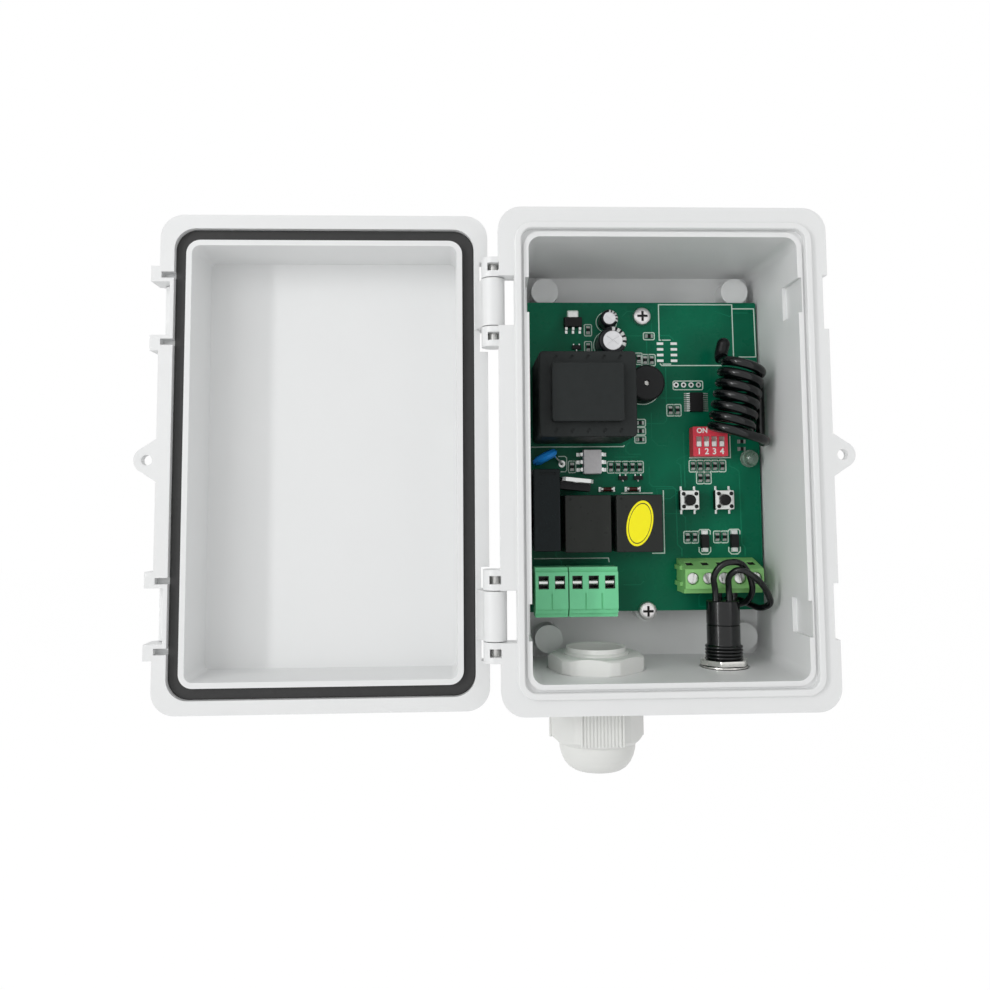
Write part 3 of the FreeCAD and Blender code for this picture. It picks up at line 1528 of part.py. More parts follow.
def switch_nut():
    """Thin hexagon nut on the thread inside the box."""
    low = switch_seat() + switch_washer_thickness
    nut = hexagon_z(switch_x, -switch_depth, switch_nut_flats, low, low + switch_nut_thickness, 8)
    ring = upright(switch_x, -switch_depth, switch_nut_flats / math.sqrt(3) * 0.97,
                   low, low + switch_nut_thickness)
    bore = upright(switch_x, -switch_depth, switch_thread_diameter / 2 + 0.05, low - 1, low + 10)
    return nut.common(ring).cut(bore)


def switch_washer():
    """Flat washer under the nut."""
    low = switch_seat()
    disc = upright(switch_x, -switch_depth, switch_washer_diameter / 2, low, low + switch_washer_thickness)
    bore = upright(switch_x, -switch_depth, switch_thread_diameter / 2 + 0.05, low - 1, low + 2)
    return disc.cut(bore)


def switch_button():
    """Domed push button below the bezel."""
    seat_out = bottom_outer_z - pad_rise + 0.2
    r = switch_button_diameter / 2
    low = seat_out - switch_bezel_thickness - switch_button_proud
    top = seat_out + 4 - switch_travel - 0.3
    return lathe_z(switch_x, -switch_depth, [(0.001, low), (r * 0.5, low + 0.15),
                                             (r * 0.85, low + 0.7), (r, low + 1.5),
                                             (r, top), (0.001, top)])


# cable gland

def gland_seats():
    """Outer and inner seat planes of the gland on the bottom wall."""
    return bottom_outer_z - pad_rise + 0.2, bottom_inner_z + seat_rise


def gland_body():
    """Gland body: inner stub, hexagon outside the wall and the neck for the dome nut."""
    out, inn = gland_seats()
    r = gland_thread_diameter / 2
    hex_top = out - gland_washer_thickness
    hex_low = hex_top - gland_hex_thickness
    stub_top = inn + gland_stub_height
    tube_part = lathe_z(gland_x, -gland_depth, [(gland_bore_diameter / 2, stub_top - 0.5),
                                                (gland_bore_diameter / 2 + 0.4, stub_top),
                                                (r - 1.0, stub_top), (r - 0.95, stub_top - 1.3),
                                                (r, stub_top - 1.7),
                                                (r, hex_low - gland_dome_band + 2.4),
                                                (gland_bore_diameter / 2, hex_low - gland_dome_band + 2.4)])
    hexagon = hexagon_z(gland_x, -gland_depth, gland_dome_flats, hex_low, hex_top)
    hexagon = hexagon.common(upright(gland_x, -gland_depth, gland_nut_corners / 2, hex_low, hex_top))
    bore = upright(gland_x, -gland_depth, gland_bore_diameter / 2, hex_low - 1, hex_top + 1)
    return fuse([tube_part, hexagon.cut(bore)])


def gland_washer():
    """Rubber ring between the gland and the outside of the wall."""
    out, inn = gland_seats()
    low = out - gland_washer_thickness
    ring = upright(gland_x, -gland_depth, gland_dome_flats / 2 - 0.6, low, out)
    return ring.cut(upright(gland_x, -gland_depth, gland_thread_diameter / 2 + 0.05, low - 1, out + 1))


def gland_lock_nut():
    """Hexagon nut with rounded corners inside the box."""
    out, inn = gland_seats()
    top = inn + gland_nut_thickness
    hexagon = hexagon_z(gland_x, -gland_depth, gland_nut_flats, inn, top, gland_nut_turn)
    r = gland_nut_corners / 2
    barrel = lathe_z(gland_x, -gland_depth, [(0.001, inn), (r - 0.3, inn), (r, inn + 0.4), (r, top - 0.9),
                                             (r - 1.4, top), (0.001, top)])
    bore = upright(gland_x, -gland_depth, gland_thread_diameter / 2 + 0.05, inn - 1, top + 1)
    return hexagon.common(barrel).cut(bore)


def gland_dome_nut():
    """Compression nut: six flats, fine ribs on every other flat and a domed end."""
    out, inn = gland_seats()
    top = out - gland_washer_thickness - gland_hex_thickness - 0.25
    low = top - gland_dome_band
    end = low - gland_dome_height
    cx, cy = gland_x, -gland_depth
    prism = hexagon_z(cx, cy, gland_dome_flats, low, top)
    rc = gland_nut_corners / 2 - 0.8
    limit = lathe_z(cx, cy, [(0.001, low), (rc - 1.9, low), (rc, low + 1.7), (rc, top - 0.6), (rc - 0.6, top),
                             (0.001, top)])
    band = prism.common(limit)
    r = gland_dome_radius
    rh = gland_cable_diameter / 2 + 0.6
    arc = []
    for i in range(7):
        a = math.radians(15 * i)
        arc.append((rh + (r - rh) * math.cos(a), low + 0.4 - (gland_dome_height + 0.4) * math.sin(a)))
    dome = lathe_z(cx, cy, [(rh - 0.5, low + 0.4)] + arc + [(rh - 0.5, end)])
    ribs = []
    pitch = gland_dome_flats / math.sqrt(3) * 0.9 / gland_rib_count
    for flat in range(3):
        turn = 120 * flat
        for i in range(gland_rib_count):
            x = cx + (i - (gland_rib_count - 1) / 2) * pitch
            rib = upright(x, cy - gland_dome_flats / 2 + 0.1, gland_rib_radius, low + 1.0, top - 0.2)
            rib.rotate(V(cx, cy, 0), V(0, 0, 1), turn)
            ribs.append(rib)
    body = fuse([band, dome])
    cavity_r = gland_thread_diameter / 2 + 0.12
    cavity = upright(cx, cy, cavity_r, low + 1.2, top + 1)
    bore = upright(cx, cy, gland_cable_diameter / 2 + 0.4, end - 1, top)
    return cut(fuse([body] + ribs), [cavity, bore])


def gland_seal():
    """Rubber sleeve that grips the cable, inside the neck."""
    out, inn = gland_seats()
    top = out - gland_washer_thickness - gland_hex_thickness - 2.0
    low = out - gland_washer_thickness - gland_hex_thickness - gland_dome_band + 1.3
    r = gland_bore_diameter / 2 - 0.08
    rb = gland_cable_diameter / 2
    return lathe_z(gland_x, -gland_depth, [(rb, low + 0.4), (rb + 0.5, low), (r - 0.8, low), (r, low + 1.2),
                                           (r, top), (rb, top)])


def build():
    """Makes and writes every node."""
    save("base_housing", base_housing())
    save("hinge_pins", hinge_pins())
    save("cover", cover())
    save("cover_gasket", gasket())
    save("upper_latch", latch(latch_z))
    save("lower_latch", latch(-latch_z))
    save("latch_pins", latch_pins())
    save("circuit_board", circuit_board())
    save("board_screws", board_screws())
    save("transformer", transformer())
    save("buzzer", buzzer())
    save("large_capacitor", can(*large_can_place, large_can_diameter, large_can_height))
    save("small_capacitor", can(*small_can_place, small_can_diameter, small_can_height))
    save("voltage_regulator", voltage_regulator())
    save("controller_chip", controller_chip())
    save("chip_parts", chip_parts())
    save("power_diodes", power_diodes())
    save("glass_diodes", glass_diodes())
    save("small_transistors", small_transistors())
    save("address_switch_body", dip_body())
    for number, x in enumerate(dip_places(), 1):
        save("address_slider_" + str(number), dip_slider(x))
    save("left_button_body", button_body(button_places[0]))
    save("right_button_body", button_body(button_places[1]))
    save("left_button_plunger", button_plunger(button_places[0]))
    save("right_button_plunger", button_plunger(button_places[1]))
    save("left_relay", relay(relay_places[0]))
    save("right_relay", relay(relay_places[1]))
    save("relay_sticker", relay_sticker())
    save("film_capacitor", film_capacitor())
    save("disc_capacitor", disc_capacitor())
    save("optocoupler", optocoupler())
    save("power_transistor", power_transistor())
    save("indicator_lamp", indicator_lamp())
    save("two_way_header", terminal_header(0, 2))
    save("two_way_plug", terminal_plug(0, 2))
    save("two_way_clamps", plug_clamps(0, 2))
    save("three_way_header", terminal_header(2, 3))
    save("three_way_plug", terminal_plug(2, 3))
    save("three_way_clamps", plug_clamps(2, 3))
    save("five_way_terminal", five_way_terminal())
    save("five_way_screws", strip_screws())
    save("five_way_clamps", strip_clamps())
    save("antenna_coil", antenna_coil())
    save("antenna_cap", antenna_cap())
    save("left_switch_wire", left_switch_wire())
    save("right_switch_wire", right_switch_wire())
    save("push_switch_body", switch_body())
    save("push_switch_nut", switch_nut())
    save("push_switch_washer", switch_washer())
    save("push_switch_button", switch_button())
    save("gland_body", gland_body())
    save("gland_washer", gland_washer())
    save("gland_lock_nut", gland_lock_nut())
    save("gland_dome_nut", gland_dome_nut())
    save("gland_seal", gland_seal())


build()
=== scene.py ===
"""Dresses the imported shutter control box: moulded edges, finishes, printed lines, solder and the stage."""

import json
import math
import random

import bmesh
import bpy
from bpy.props import FloatProperty, FloatVectorProperty, IntProperty, PointerProperty
from mathutils import Matrix, Vector

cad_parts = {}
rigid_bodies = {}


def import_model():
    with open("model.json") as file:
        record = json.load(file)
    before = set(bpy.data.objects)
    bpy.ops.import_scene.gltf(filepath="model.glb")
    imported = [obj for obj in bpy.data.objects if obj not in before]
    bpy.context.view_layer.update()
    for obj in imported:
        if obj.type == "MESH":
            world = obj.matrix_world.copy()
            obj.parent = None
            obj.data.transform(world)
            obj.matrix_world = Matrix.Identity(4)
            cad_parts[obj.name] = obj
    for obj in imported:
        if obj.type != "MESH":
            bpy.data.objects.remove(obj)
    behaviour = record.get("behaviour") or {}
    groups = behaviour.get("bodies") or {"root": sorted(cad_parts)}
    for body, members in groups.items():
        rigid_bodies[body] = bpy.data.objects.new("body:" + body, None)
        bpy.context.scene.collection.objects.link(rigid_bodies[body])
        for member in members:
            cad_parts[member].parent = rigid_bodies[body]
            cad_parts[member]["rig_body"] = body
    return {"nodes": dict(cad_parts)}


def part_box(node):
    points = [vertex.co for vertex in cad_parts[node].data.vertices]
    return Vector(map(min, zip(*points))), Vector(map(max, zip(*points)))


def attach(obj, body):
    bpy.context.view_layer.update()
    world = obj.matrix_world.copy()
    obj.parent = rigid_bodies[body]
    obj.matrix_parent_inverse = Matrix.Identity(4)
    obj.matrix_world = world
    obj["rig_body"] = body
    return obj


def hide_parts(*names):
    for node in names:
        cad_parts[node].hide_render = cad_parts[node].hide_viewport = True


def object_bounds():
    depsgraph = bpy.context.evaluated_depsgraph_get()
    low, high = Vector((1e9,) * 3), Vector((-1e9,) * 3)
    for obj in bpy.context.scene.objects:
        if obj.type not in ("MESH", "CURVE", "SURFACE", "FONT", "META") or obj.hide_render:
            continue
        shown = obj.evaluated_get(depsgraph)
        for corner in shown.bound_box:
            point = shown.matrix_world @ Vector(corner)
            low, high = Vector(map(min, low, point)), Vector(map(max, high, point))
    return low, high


bl_info = {
    "name": "Shutter control box dressing",
    "version": (1, 0, 0),
    "blender": (4, 5, 0),
    "location": "3D View > Sidebar > Shutter Box",
    "description": "Gives the packed shutter control box its finishes, printed lines, solder and stage",
    "category": "Object",
}

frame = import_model()
cad_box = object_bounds()

MM = 0.001


def linear(hex_colour):
    """Turns an sRGB hex value into linear red, green and blue."""
    parts = [int(hex_colour[i:i + 2], 16) / 255 for i in (1, 3, 5)]
    return tuple(p / 12.92 if p <= 0.04045 else ((p + 0.055) / 1.055) ** 2.4 for p in parts)


def tint(name, description, hex_colour):
    """A colour that a user may change, with its default written as sRGB hex."""
    return FloatVectorProperty(name=name, description=description, default=linear(hex_colour),
                               subtype="COLOR", size=3, min=0, max=1)


def length(name, description, millimetres):
    """A length that a user may change, kept in metres."""
    return FloatProperty(name=name, description=description, default=millimetres * MM, min=0, unit="LENGTH",
                         precision=5)


def amount(name, description, value, unit="NONE"):
    """A number that a user may change."""
    return FloatProperty(name=name, description=description, default=value, unit=unit)


# ---- settings ----

class EnclosureSettings(bpy.types.PropertyGroup):
    """Colours and edges of the box."""
    shell: tint("Shell", "Pale moulded ABS of base, cover and latches", "#E7E8E8")
    gasket: tint("Gasket", "Foam rubber cord in the cover", "#333333")
    pin: tint("Pins", "Steel of the hinge and latch pins", "#C9C9C7")
    edge: length("Edge", "Radius of the moulded edges", 0.35)


class BoardSettings(bpy.types.PropertyGroup):
    """Colours and line widths of the circuit board."""
    mask: tint("Solder mask", "Green varnish over copper", "#026E4F")
    mask_dark: tint("Mask over laminate", "Green where there is no copper under it", "#026045")
    trace: tint("Tracks", "Green varnish over a copper track", "#147A5A")
    ink: tint("Ink", "White printed lines", "#CFE3D6")
    tin: tint("Tin", "Tinned pads and leads", "#DADCDA")
    solder: tint("Solder", "Dull solder on the chip parts", "#9A9E9A")
    ink_width: length("Ink width", "Width of a printed line", 0.34)
    track_width: length("Track width", "Width of a thin track", 0.24)
    track_count: IntProperty(name="Tracks", description="Number of tracks drawn", default=26, min=0, max=400)
    seed: IntProperty(name="Seed", description="Seed of the track layout", default=11)


class PartSettings(bpy.types.PropertyGroup):
    """Colours and edges of the components."""
    potting: tint("Transformer", "Matt black moulded case", "#272A2A")
    relay: tint("Relays", "Glossy black relay case", "#2A2C2A")
    chip: tint("Chips", "Black moulding compound", "#101011")
    block: tint("Boxed capacitor", "Blue-black case", "#11191B")
    dipped: tint("Disc", "Blue dipped coating", "#2A9CFF")
    red: tint("Switch block", "Red moulded block", "#DC4252")
    coupler: tint("Coupler", "Greyish white coupler case", "#E4E2E4")
    ivory: tint("Sliders", "White moulded sliders and printed figures", "#EDEDE9")
    sticker: tint("Sticker", "Yellow paper", "#FFF200")
    edge: length("Edge", "Radius of small moulded edges", 0.16)


class TerminalSettings(bpy.types.PropertyGroup):
    """Colours of the terminals."""
    plug: tint("Plugs", "Green polyamide of the plug blocks", "#71CC97")
    strip: tint("Strip", "Green polyamide of the screw strip", "#86C474")
    metal: tint("Clamps", "Zinc plated clamps and screws", "#D9DAD8")


class WiringSettings(bpy.types.PropertyGroup):
    """Colours of the wires, the switch and the gland."""
    insulation: tint("Insulation", "Black insulation", "#070A0B")
    switch: tint("Switch", "Black moulded switch", "#0A0C0D")
    nickel: tint("Nickel", "Nickel plated nut and washer", "#E2E0DC")
    button: tint("Button", "Red switch button", "#B3202A")
    nylon: tint("Nylon", "Pale polyamide of the gland", "#E2E3E0")
    seal: tint("Seal", "Grey rubber seal", "#A4A5A0")


class StageSettings(bpy.types.PropertyGroup):
    """Floor, lamps and background."""
    floor: tint("Floor", "Pale floor", "#F2F2F2")
    drop: length("Floor drop", "How far the floor lies under the box", 130.0)
    key: amount("Key lamp", "Tall narrow lamp at the left", 5.0, "POWER")
    wide: amount("Wide lamp", "Wide lamp at the front left", 3.6, "POWER")
    fill: amount("Fill lamp", "Lamp at the right", 0.5, "POWER")
    ambient: amount("Ambient", "Strength of the even light from all sides", 0.66)


# ---- material building ----

WHITE = (1, 1, 1, 1)
# Most of a noise texture's values lie between these two.
NOISE_LOW, NOISE_HIGH = 0.3, 0.7


def feed(tree, entry, value):
    """Links a socket to a node's input, or sets the input's value."""
    if isinstance(value, bpy.types.NodeSocket):
        tree.links.new(value, entry)
    else:
        entry.default_value = value


def add(tree, kind, inputs=None, **attributes):
    """Adds a node of the tree's own kind, and sets its attributes and inputs."""
    node = tree.nodes.new(tree.bl_idname.removesuffix("Tree") + kind)
    for key, value in attributes.items():
        setattr(node, key, value)
    for key, value in (inputs or {}).items():
        feed(tree, node.inputs[key], value)
    return node


def remap(tree, value, low, high, from_low=0.0, from_high=1.0):
    """Number spread from one range over another."""
    return add(tree, "MapRange", {"Value": value, "From Min": from_low, "From Max": from_high,
                                  "To Min": low, "To Max": high}).outputs["Result"]


class Finish:
    """A node material in the making, laid out in object coordinates."""

    def __init__(self, name, roughness, **inputs):
        self.material = bpy.data.materials.new(name)
        self.material.use_nodes = True
        self.tree = self.material.node_tree
        self.shader = self.tree.nodes["Principled BSDF"]
        self.place = add(self.tree, "TexCoord").outputs["Object"]
        self.set(Roughness=roughness, **inputs)

    def set(self, **inputs):
        """Sets or links inputs of the shader, each named with _ for a space, and gives the material."""
        for key, value in inputs.items():
            feed(self.tree, self.shader.inputs[key.replace("_", " ")], value)
        return self.material

    def maths(self, operation, *inputs, **attributes):
        """Result of one step of maths on sockets and numbers."""
        node = add(self.tree, "Math", dict(enumerate(inputs)), operation=operation, **attributes)
        return node.outputs["Value"]

    def vectors(self, operation, *inputs):
        """Vector or length that comes from one step of vector maths."""
        node = add(self.tree, "VectorMath", dict(enumerate(inputs)), operation=operation)
        return node.outputs["Value" if operation == "LENGTH" else "Vector"]

    def level(self, mask, outside, inside, *limits):
        """Number that goes from one value to another with a mask, or between two limits of it."""
        return remap(self.tree, mask, outside, inside, *limits)

    def blend(self, mask, outside, inside):
        """Colour, given as sockets or values, that changes inside a mask."""
        a, b = [end if isinstance(end, bpy.types.NodeSocket) else (*end[:3], 1.0)
                for end in (outside, inside)]
        return add(self.tree, "Mix", {"Factor": mask, "A": a, "B": b}, data_type="RGBA").outputs["Result"]

    def noise(self, size_mm, detail, place=None, **inputs):
        """Noise with patches of the given size."""
        return add(self.tree, "TexNoise", {"Vector": place or self.place, "Scale": 1 / (size_mm * MM),
                                           "Detail": detail, **inputs}).outputs["Fac"]

    def clouded(self, colour, spread, size_mm, place=None):
        """Colour that drifts a little lighter and darker over patches of the given size."""
        return self.blend(self.noise(size_mm, 2.0, place), [c * (1 - spread) for c in colour],
                          [min(c * (1 + spread), 1) for c in colour])

    def worn(self, low, high, size_mm, place=None):
        """Roughness that varies between two values over patches of the given size."""
        noise = self.noise(size_mm, 3.0, place)
        return self.set(Roughness=self.level(noise, low, high, NOISE_LOW, NOISE_HIGH))

    def bumped(self, noise, height_mm, **inputs):
        """Surface that rises and falls with a noise."""
        return add(self.tree, "Bump", {"Height": noise, "Strength": 1.0, "Distance": height_mm * MM,
                                       **inputs}).outputs["Normal"]

    def grained(self, size_mm, height_mm, flow_mm=None, flow_height_mm=None):
        """Surface grain of a mould, and a slow waviness where the moulding sank."""
        surface = self.bumped(self.noise(size_mm, 3.0, Roughness=0.6), height_mm)
        if flow_mm:
            surface = self.bumped(self.noise(flow_mm, 1.0), flow_height_mm, Normal=surface)
        return self.set(Normal=surface)

    def within(self, boxes, place=None):
        """1 inside any of the boxes, given as (x, y, z) ranges in millimetres, None for no limit."""
        split = add(self.tree, "SeparateXYZ", {"Vector": place or self.place}).outputs
        union = None
        for box in boxes:
            inside = None
            for axis, limits in zip("XYZ", box):
                if limits:
                    low, high = limits
                    test = self.maths("COMPARE", split[axis], (low + high) / 2 * MM, (high - low) / 2 * MM)
                    inside = test if inside is None else self.maths("MULTIPLY", inside, test)
            union = inside if union is None else self.maths("MAXIMUM", union, inside)
        return union

    def about(self, centre, turn, scale=(1, 1, 1)):
        """Coordinates from a centre, turned about an axis towards the front and scaled."""
        return add(self.tree, "Mapping", {"Vector": self.place, "Location": centre, "Rotation": (0, turn, 0),
                                          "Scale": scale}, vector_type="TEXTURE").outputs["Vector"]


def one_colour(name, colour, roughness, cloud, wear=None, grain=None, **inputs):
    """Finish of one colour: cloud, wear and grain say how its colour, roughness and surface vary."""
    finish = Finish(name, roughness, **inputs)
    finish.set(Base_Color=finish.clouded(colour, *cloud))
    if wear:
        less, more, size_mm = wear
        finish.worn(roughness - less, roughness + more, size_mm)
    if grain:
        finish.grained(*grain)
    return finish.material


def span(centre, half):
    """Range that reaches equally far on both sides of a centre."""
    return (centre - half, centre + half)


# ---- finishes ----

# Field of the radio module's antenna, where no copper lies under the mask.
BARE_FIELD = ((31.4, 38.6), None, (35.5, 52.1))
# Share of a capacitor's width that its bare lid takes, and how far back the lid's face reaches.
LID_SHARE, LID_REACH = 0.68, 0.8


def moulded_abs(name, colour):
    """ABS from a fine spark-eroded mould: an even pale skin with soft, broad reflections."""
    return one_colour(name, colour, 0.4, (0.015, 30), (0.06, 0.06, 12), (0.35, 0.006, 25, 0.05), IOR=1.53)


def foam_rubber(name, colour):
    """Closed-cell rubber cord: dull, with a fine open grain."""
    return one_colour(name, colour, 0.75, (0.12, 1.2), grain=(0.4, 0.04), IOR=1.52)


def brushed_pin_steel(name, colour):
    """Drawn steel wire: fine lines along the pin."""
    finish = Finish(name, 0.3, Metallic=1.0)
    drawn = add(finish.tree, "Mapping", {"Vector": finish.place, "Scale": (1.0, 1.0, 0.03)}).outputs["Vector"]
    finish.set(Base_Color=finish.clouded(colour, 0.08, 0.2, drawn))
    return finish.worn(0.22, 0.4, 0.3, drawn)


def solder_mask(name, own):
    """Green solder mask on glass laminate: glossy varnish, lighter where a copper fill lies under it."""
    finish = Finish(name, 0.3, Specular_IOR_Level=0.12)
    drift = finish.level(finish.noise(22, 1.0), 0.0, 1.0, 0.42, 0.58)
    fills = finish.maths("SUBTRACT", drift, finish.within([BARE_FIELD]), use_clamp=True)
    tone = finish.blend(fills, own.mask_dark, own.mask)
    finish.set(Base_Color=finish.vectors("MULTIPLY", tone, finish.level(finish.noise(6, 3.0), 0.92, 1.06)))
    finish.worn(0.24, 0.38, 5)
    # Glass cloth threads lie 0.5 mm apart under the varnish and telegraph through it.
    return finish.grained(0.5, 0.01)


def printed_ink(name, colour):
    """Epoxy ink: matt, a little uneven where the screen left it thin."""
    return one_colour(name, colour, 0.6, (0.12, 0.6), IOR=1.5)


def tinned_copper(name, colour, roughness):
    """Tin on copper: pale metal, a little duller where the solder froze last."""
    return one_colour(name, colour, roughness, (0.06, 0.7), (0.08, 0.12, 0.5), Metallic=0.8)


def moulded_black(name, colour, roughness, shine=0.15, grain=(0.3, 0.012)):
    """Filled thermoset or nylon case: dark, with a fine matt texture."""
    return one_colour(name, colour, roughness, (0.12, 3), (0.08, 0.08, 2), grain, Specular_IOR_Level=shine)


def moulded_bright(name, colour, roughness, shine=0.4):
    """Coloured polyamide or PBT: clean colour, soft gloss, faint flow marks."""
    return one_colour(name, colour, roughness, (0.05, 4), (0.07, 0.1, 3), (0.25, 0.006),
                      Specular_IOR_Level=shine)


def slotted_polyamide(name, colour, slots):
    """Coloured polyamide, with painted deep shade inside the wire slots."""
    finish = Finish(name, 0.4, Specular_IOR_Level=0.4)
    plain = finish.clouded(colour, 0.05, 4)
    # Painted shade: inside the slots the colour is near black.
    finish.set(Base_Color=finish.blend(finish.within(slots), plain, linear("#101A10")))
    return finish.grained(0.25, 0.006)


def case_and_leads(name, case_colour, boxes, metal_colour, roughness=0.5, turned=None, metallic=0.8):
    """Moulded case inside the given boxes, tinned leads everywhere else."""
    finish = Finish(name, roughness, Specular_IOR_Level=0.25)
    # A case that stands turned about an axis towards the front has its boxes tested in its own frame.
    mask = finish.within(boxes, turned and finish.about(*turned))
    case, metal = finish.clouded(case_colour, 0.08, 1.0), finish.clouded(metal_colour, 0.06, 0.5)
    return finish.set(Base_Color=finish.blend(mask, metal, case), Metallic=finish.level(mask, metallic, 0.0),
                      Roughness=finish.level(mask, 0.34, roughness))


def sounder_case(name, hole):
    """Black PBT case, with the pale brass plate that shows in its sound hole."""
    finish = Finish(name, 0.5, Specular_IOR_Level=0.2)
    plate = finish.within([hole])
    return finish.set(Base_Color=finish.blend(plate, linear("#1E1F20"), linear("#F4F4F0")), Metallic=plate,
                      Roughness=finish.level(plate, 0.5, 0.45))


def sleeved_can(name, centre, radius, front):
    """Aluminium can in a shrunk black sleeve: bare scored lid, white minus marks on its right shoulder."""
    finish = Finish(name, 0.35, Specular_IOR_Level=0.25)
    moved = finish.vectors("SUBTRACT", finish.place, (centre.x * MM, 0, centre.z * MM))
    reach = finish.vectors("LENGTH", finish.vectors("MULTIPLY", moved, (1, 0, 1)))
    inner = finish.maths("LESS_THAN", reach, radius * LID_SHARE * MM)
    bare = finish.maths("MULTIPLY", inner, finish.within([(None, (front - 1, front + LID_REACH), None)]))
    # Angle round the can, from the right side up: the marks lie between -30 and 100 degrees.
    split = add(finish.tree, "SeparateXYZ", {"Vector": moved}).outputs
    angle = finish.maths("ARCTAN2", split["Z"], split["X"])
    sector = finish.maths("COMPARE", angle, math.radians(35), math.radians(65))
    cycle = finish.maths("FLOORED_MODULO", angle, math.radians(26))
    marks = finish.maths("MULTIPLY", sector, finish.maths("LESS_THAN", cycle, math.radians(15)))
    sleeve = finish.blend(marks, linear("#15161A"), linear("#DCDEDC"))
    return finish.set(Base_Color=finish.blend(bare, sleeve, linear("#E0E0E2")),
                      Metallic=finish.level(bare, 0.0, 0.7), Roughness=finish.level(bare, 0.3, 0.4))


def paper_sticker(name, colour, centre, size, turn):
    """Coated yellow paper with a thin printed ring inside its edge."""
    finish = Finish(name, 0.5, IOR=1.45)
    # Scaled so that the paper's edge lies at a reach of 1, at any depth.
    reach = finish.vectors("LENGTH", finish.about(centre * MM, turn, (size[0] / 2, 1000.0, size[1] / 2)))
    ring = finish.maths("COMPARE", reach, 0.84, 0.022)
    return finish.set(Base_Color=finish.blend(ring, finish.clouded(colour, 0.04, 2), linear("#2A2A10")))


def clear_resin(name):
    """Clear epoxy lamp body: light passes with a green cast from the board behind."""
    return one_colour(name, linear("#A9C2B2"), 0.12, (0.05, 2), IOR=1.5, Transmission_Weight=0.75)


def capped_glass(name, centres):
    """Orange-brown glass bead with tinned end caps."""
    boxes = [(span(x, 1.38), None, None) for x in centres]
    return case_and_leads(name, linear("#4A1D18"), boxes, linear("#DCDCD8"), 0.15)


def wire_skin(name, colour, roughness, shine):
    """Extruded PVC: smooth black skin, glossy where it was drawn, with faint rings from the bend."""
    return one_colour(name, colour, roughness, (0.2, 2), (0.04, 0.06, 3), (1.0, 0.008),
                      Specular_IOR_Level=shine)


def plated_metal(name, colour, roughness, painted_shade_boxes=(), dark=None):
    """Zinc or nickel plate: bright, its turning marks too fine to show, with painted shade inside the given
    boxes.
    """
    finish = Finish(name, roughness, Metallic=1.0)
    plate = finish.clouded(colour, 0.04, 1.5)
    if painted_shade_boxes:
        # Painted shade: inside these boxes the plate gives way to a dark colour that is not metal.
        recess = finish.within(painted_shade_boxes)
        plate = finish.blend(recess, plate, dark)
        finish.set(Metallic=finish.level(recess, 1.0, 0.0))
    finish.set(Base_Color=plate)
    return finish.worn(roughness - 0.06, roughness + 0.1, 0.8)


def seen_directly(tree):
    """1 for rays from the camera, from a mirror surface or through glass."""
    path = add(tree, "LightPath").outputs
    seen = path["Is Camera Ray"]
    for name in ("Is Glossy Ray", "Is Transmission Ray"):
        seen = add(tree, "Math", {0: seen, 1: path[name]}, operation="MAXIMUM").outputs["Value"]
    return seen


def backdrop_paint(name, colour, glow, keep):
    """Matt pale paint: seen directly it glows white, and keeps a share of its own light and shadows."""
    finish = Finish(name, 0.9)
    finish.set(Base_Color=finish.clouded(colour, 0.005, 200))
    tree = finish.tree
    light = add(tree, "Emission", {"Color": WHITE, "Strength": glow}).outputs["Emission"]
    blend = add(tree, "MixShader", {0: remap(tree, seen_directly(tree), 0.0, 1 - keep),
                                    1: finish.shader.outputs["BSDF"], 2: light})
    tree.links.new(blend.outputs["Shader"], tree.nodes["Material Output"].inputs["Surface"])
    return finish.material


# ---- shapes ----

# Lines and figures start this far inside the face that they lie on, in millimetres.
ROOT = 0.01
# Height of a capital as a share of its font's size.
CAPITAL_SHARE = 0.7
# Sharper corners of a line get no longer mitre than this gives.
MITRE_LIMIT = 0.4


def settings():
    """The scene's settings."""
    return bpy.context.scene.shutter_box


def box_mm(node):
    """Both corners of a node's box in millimetres."""
    return [Vector(corner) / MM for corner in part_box(node)]


def middle(node):
    """Centre of a node's box in millimetres."""
    low, high = box_mm(node)
    return (low + high) / 2


def board_front():
    """The y of the board's face in millimetres."""
    return box_mm("circuit_board")[0].y


def placed(name, data):
    """New object in the scene."""
    item = bpy.data.objects.new(name, data)
    bpy.context.scene.collection.objects.link(item)
    return item


def complete(piece, material, body):
    """Gives a finished piece its material and body."""
    piece.data.materials.clear()
    piece.data.materials.append(material)
    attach(piece, body)


def evaluated_mesh(item):
    """Plain mesh of an object with its modifiers applied."""
    bpy.context.view_layer.update()
    return bpy.data.meshes.new_from_object(item.evaluated_get(bpy.context.evaluated_depsgraph_get()))


def settle(piece):
    """Turns a piece's modifiers into plain mesh."""
    made = evaluated_mesh(piece)
    piece.modifiers.clear()
    piece.data = made


def welded(mesh):
    """Editable copy of a mesh with its doubled corners joined."""
    work = bmesh.new()
    work.from_mesh(mesh)
    bmesh.ops.remove_doubles(work, verts=work.verts, dist=0.002 * MM)
    return work


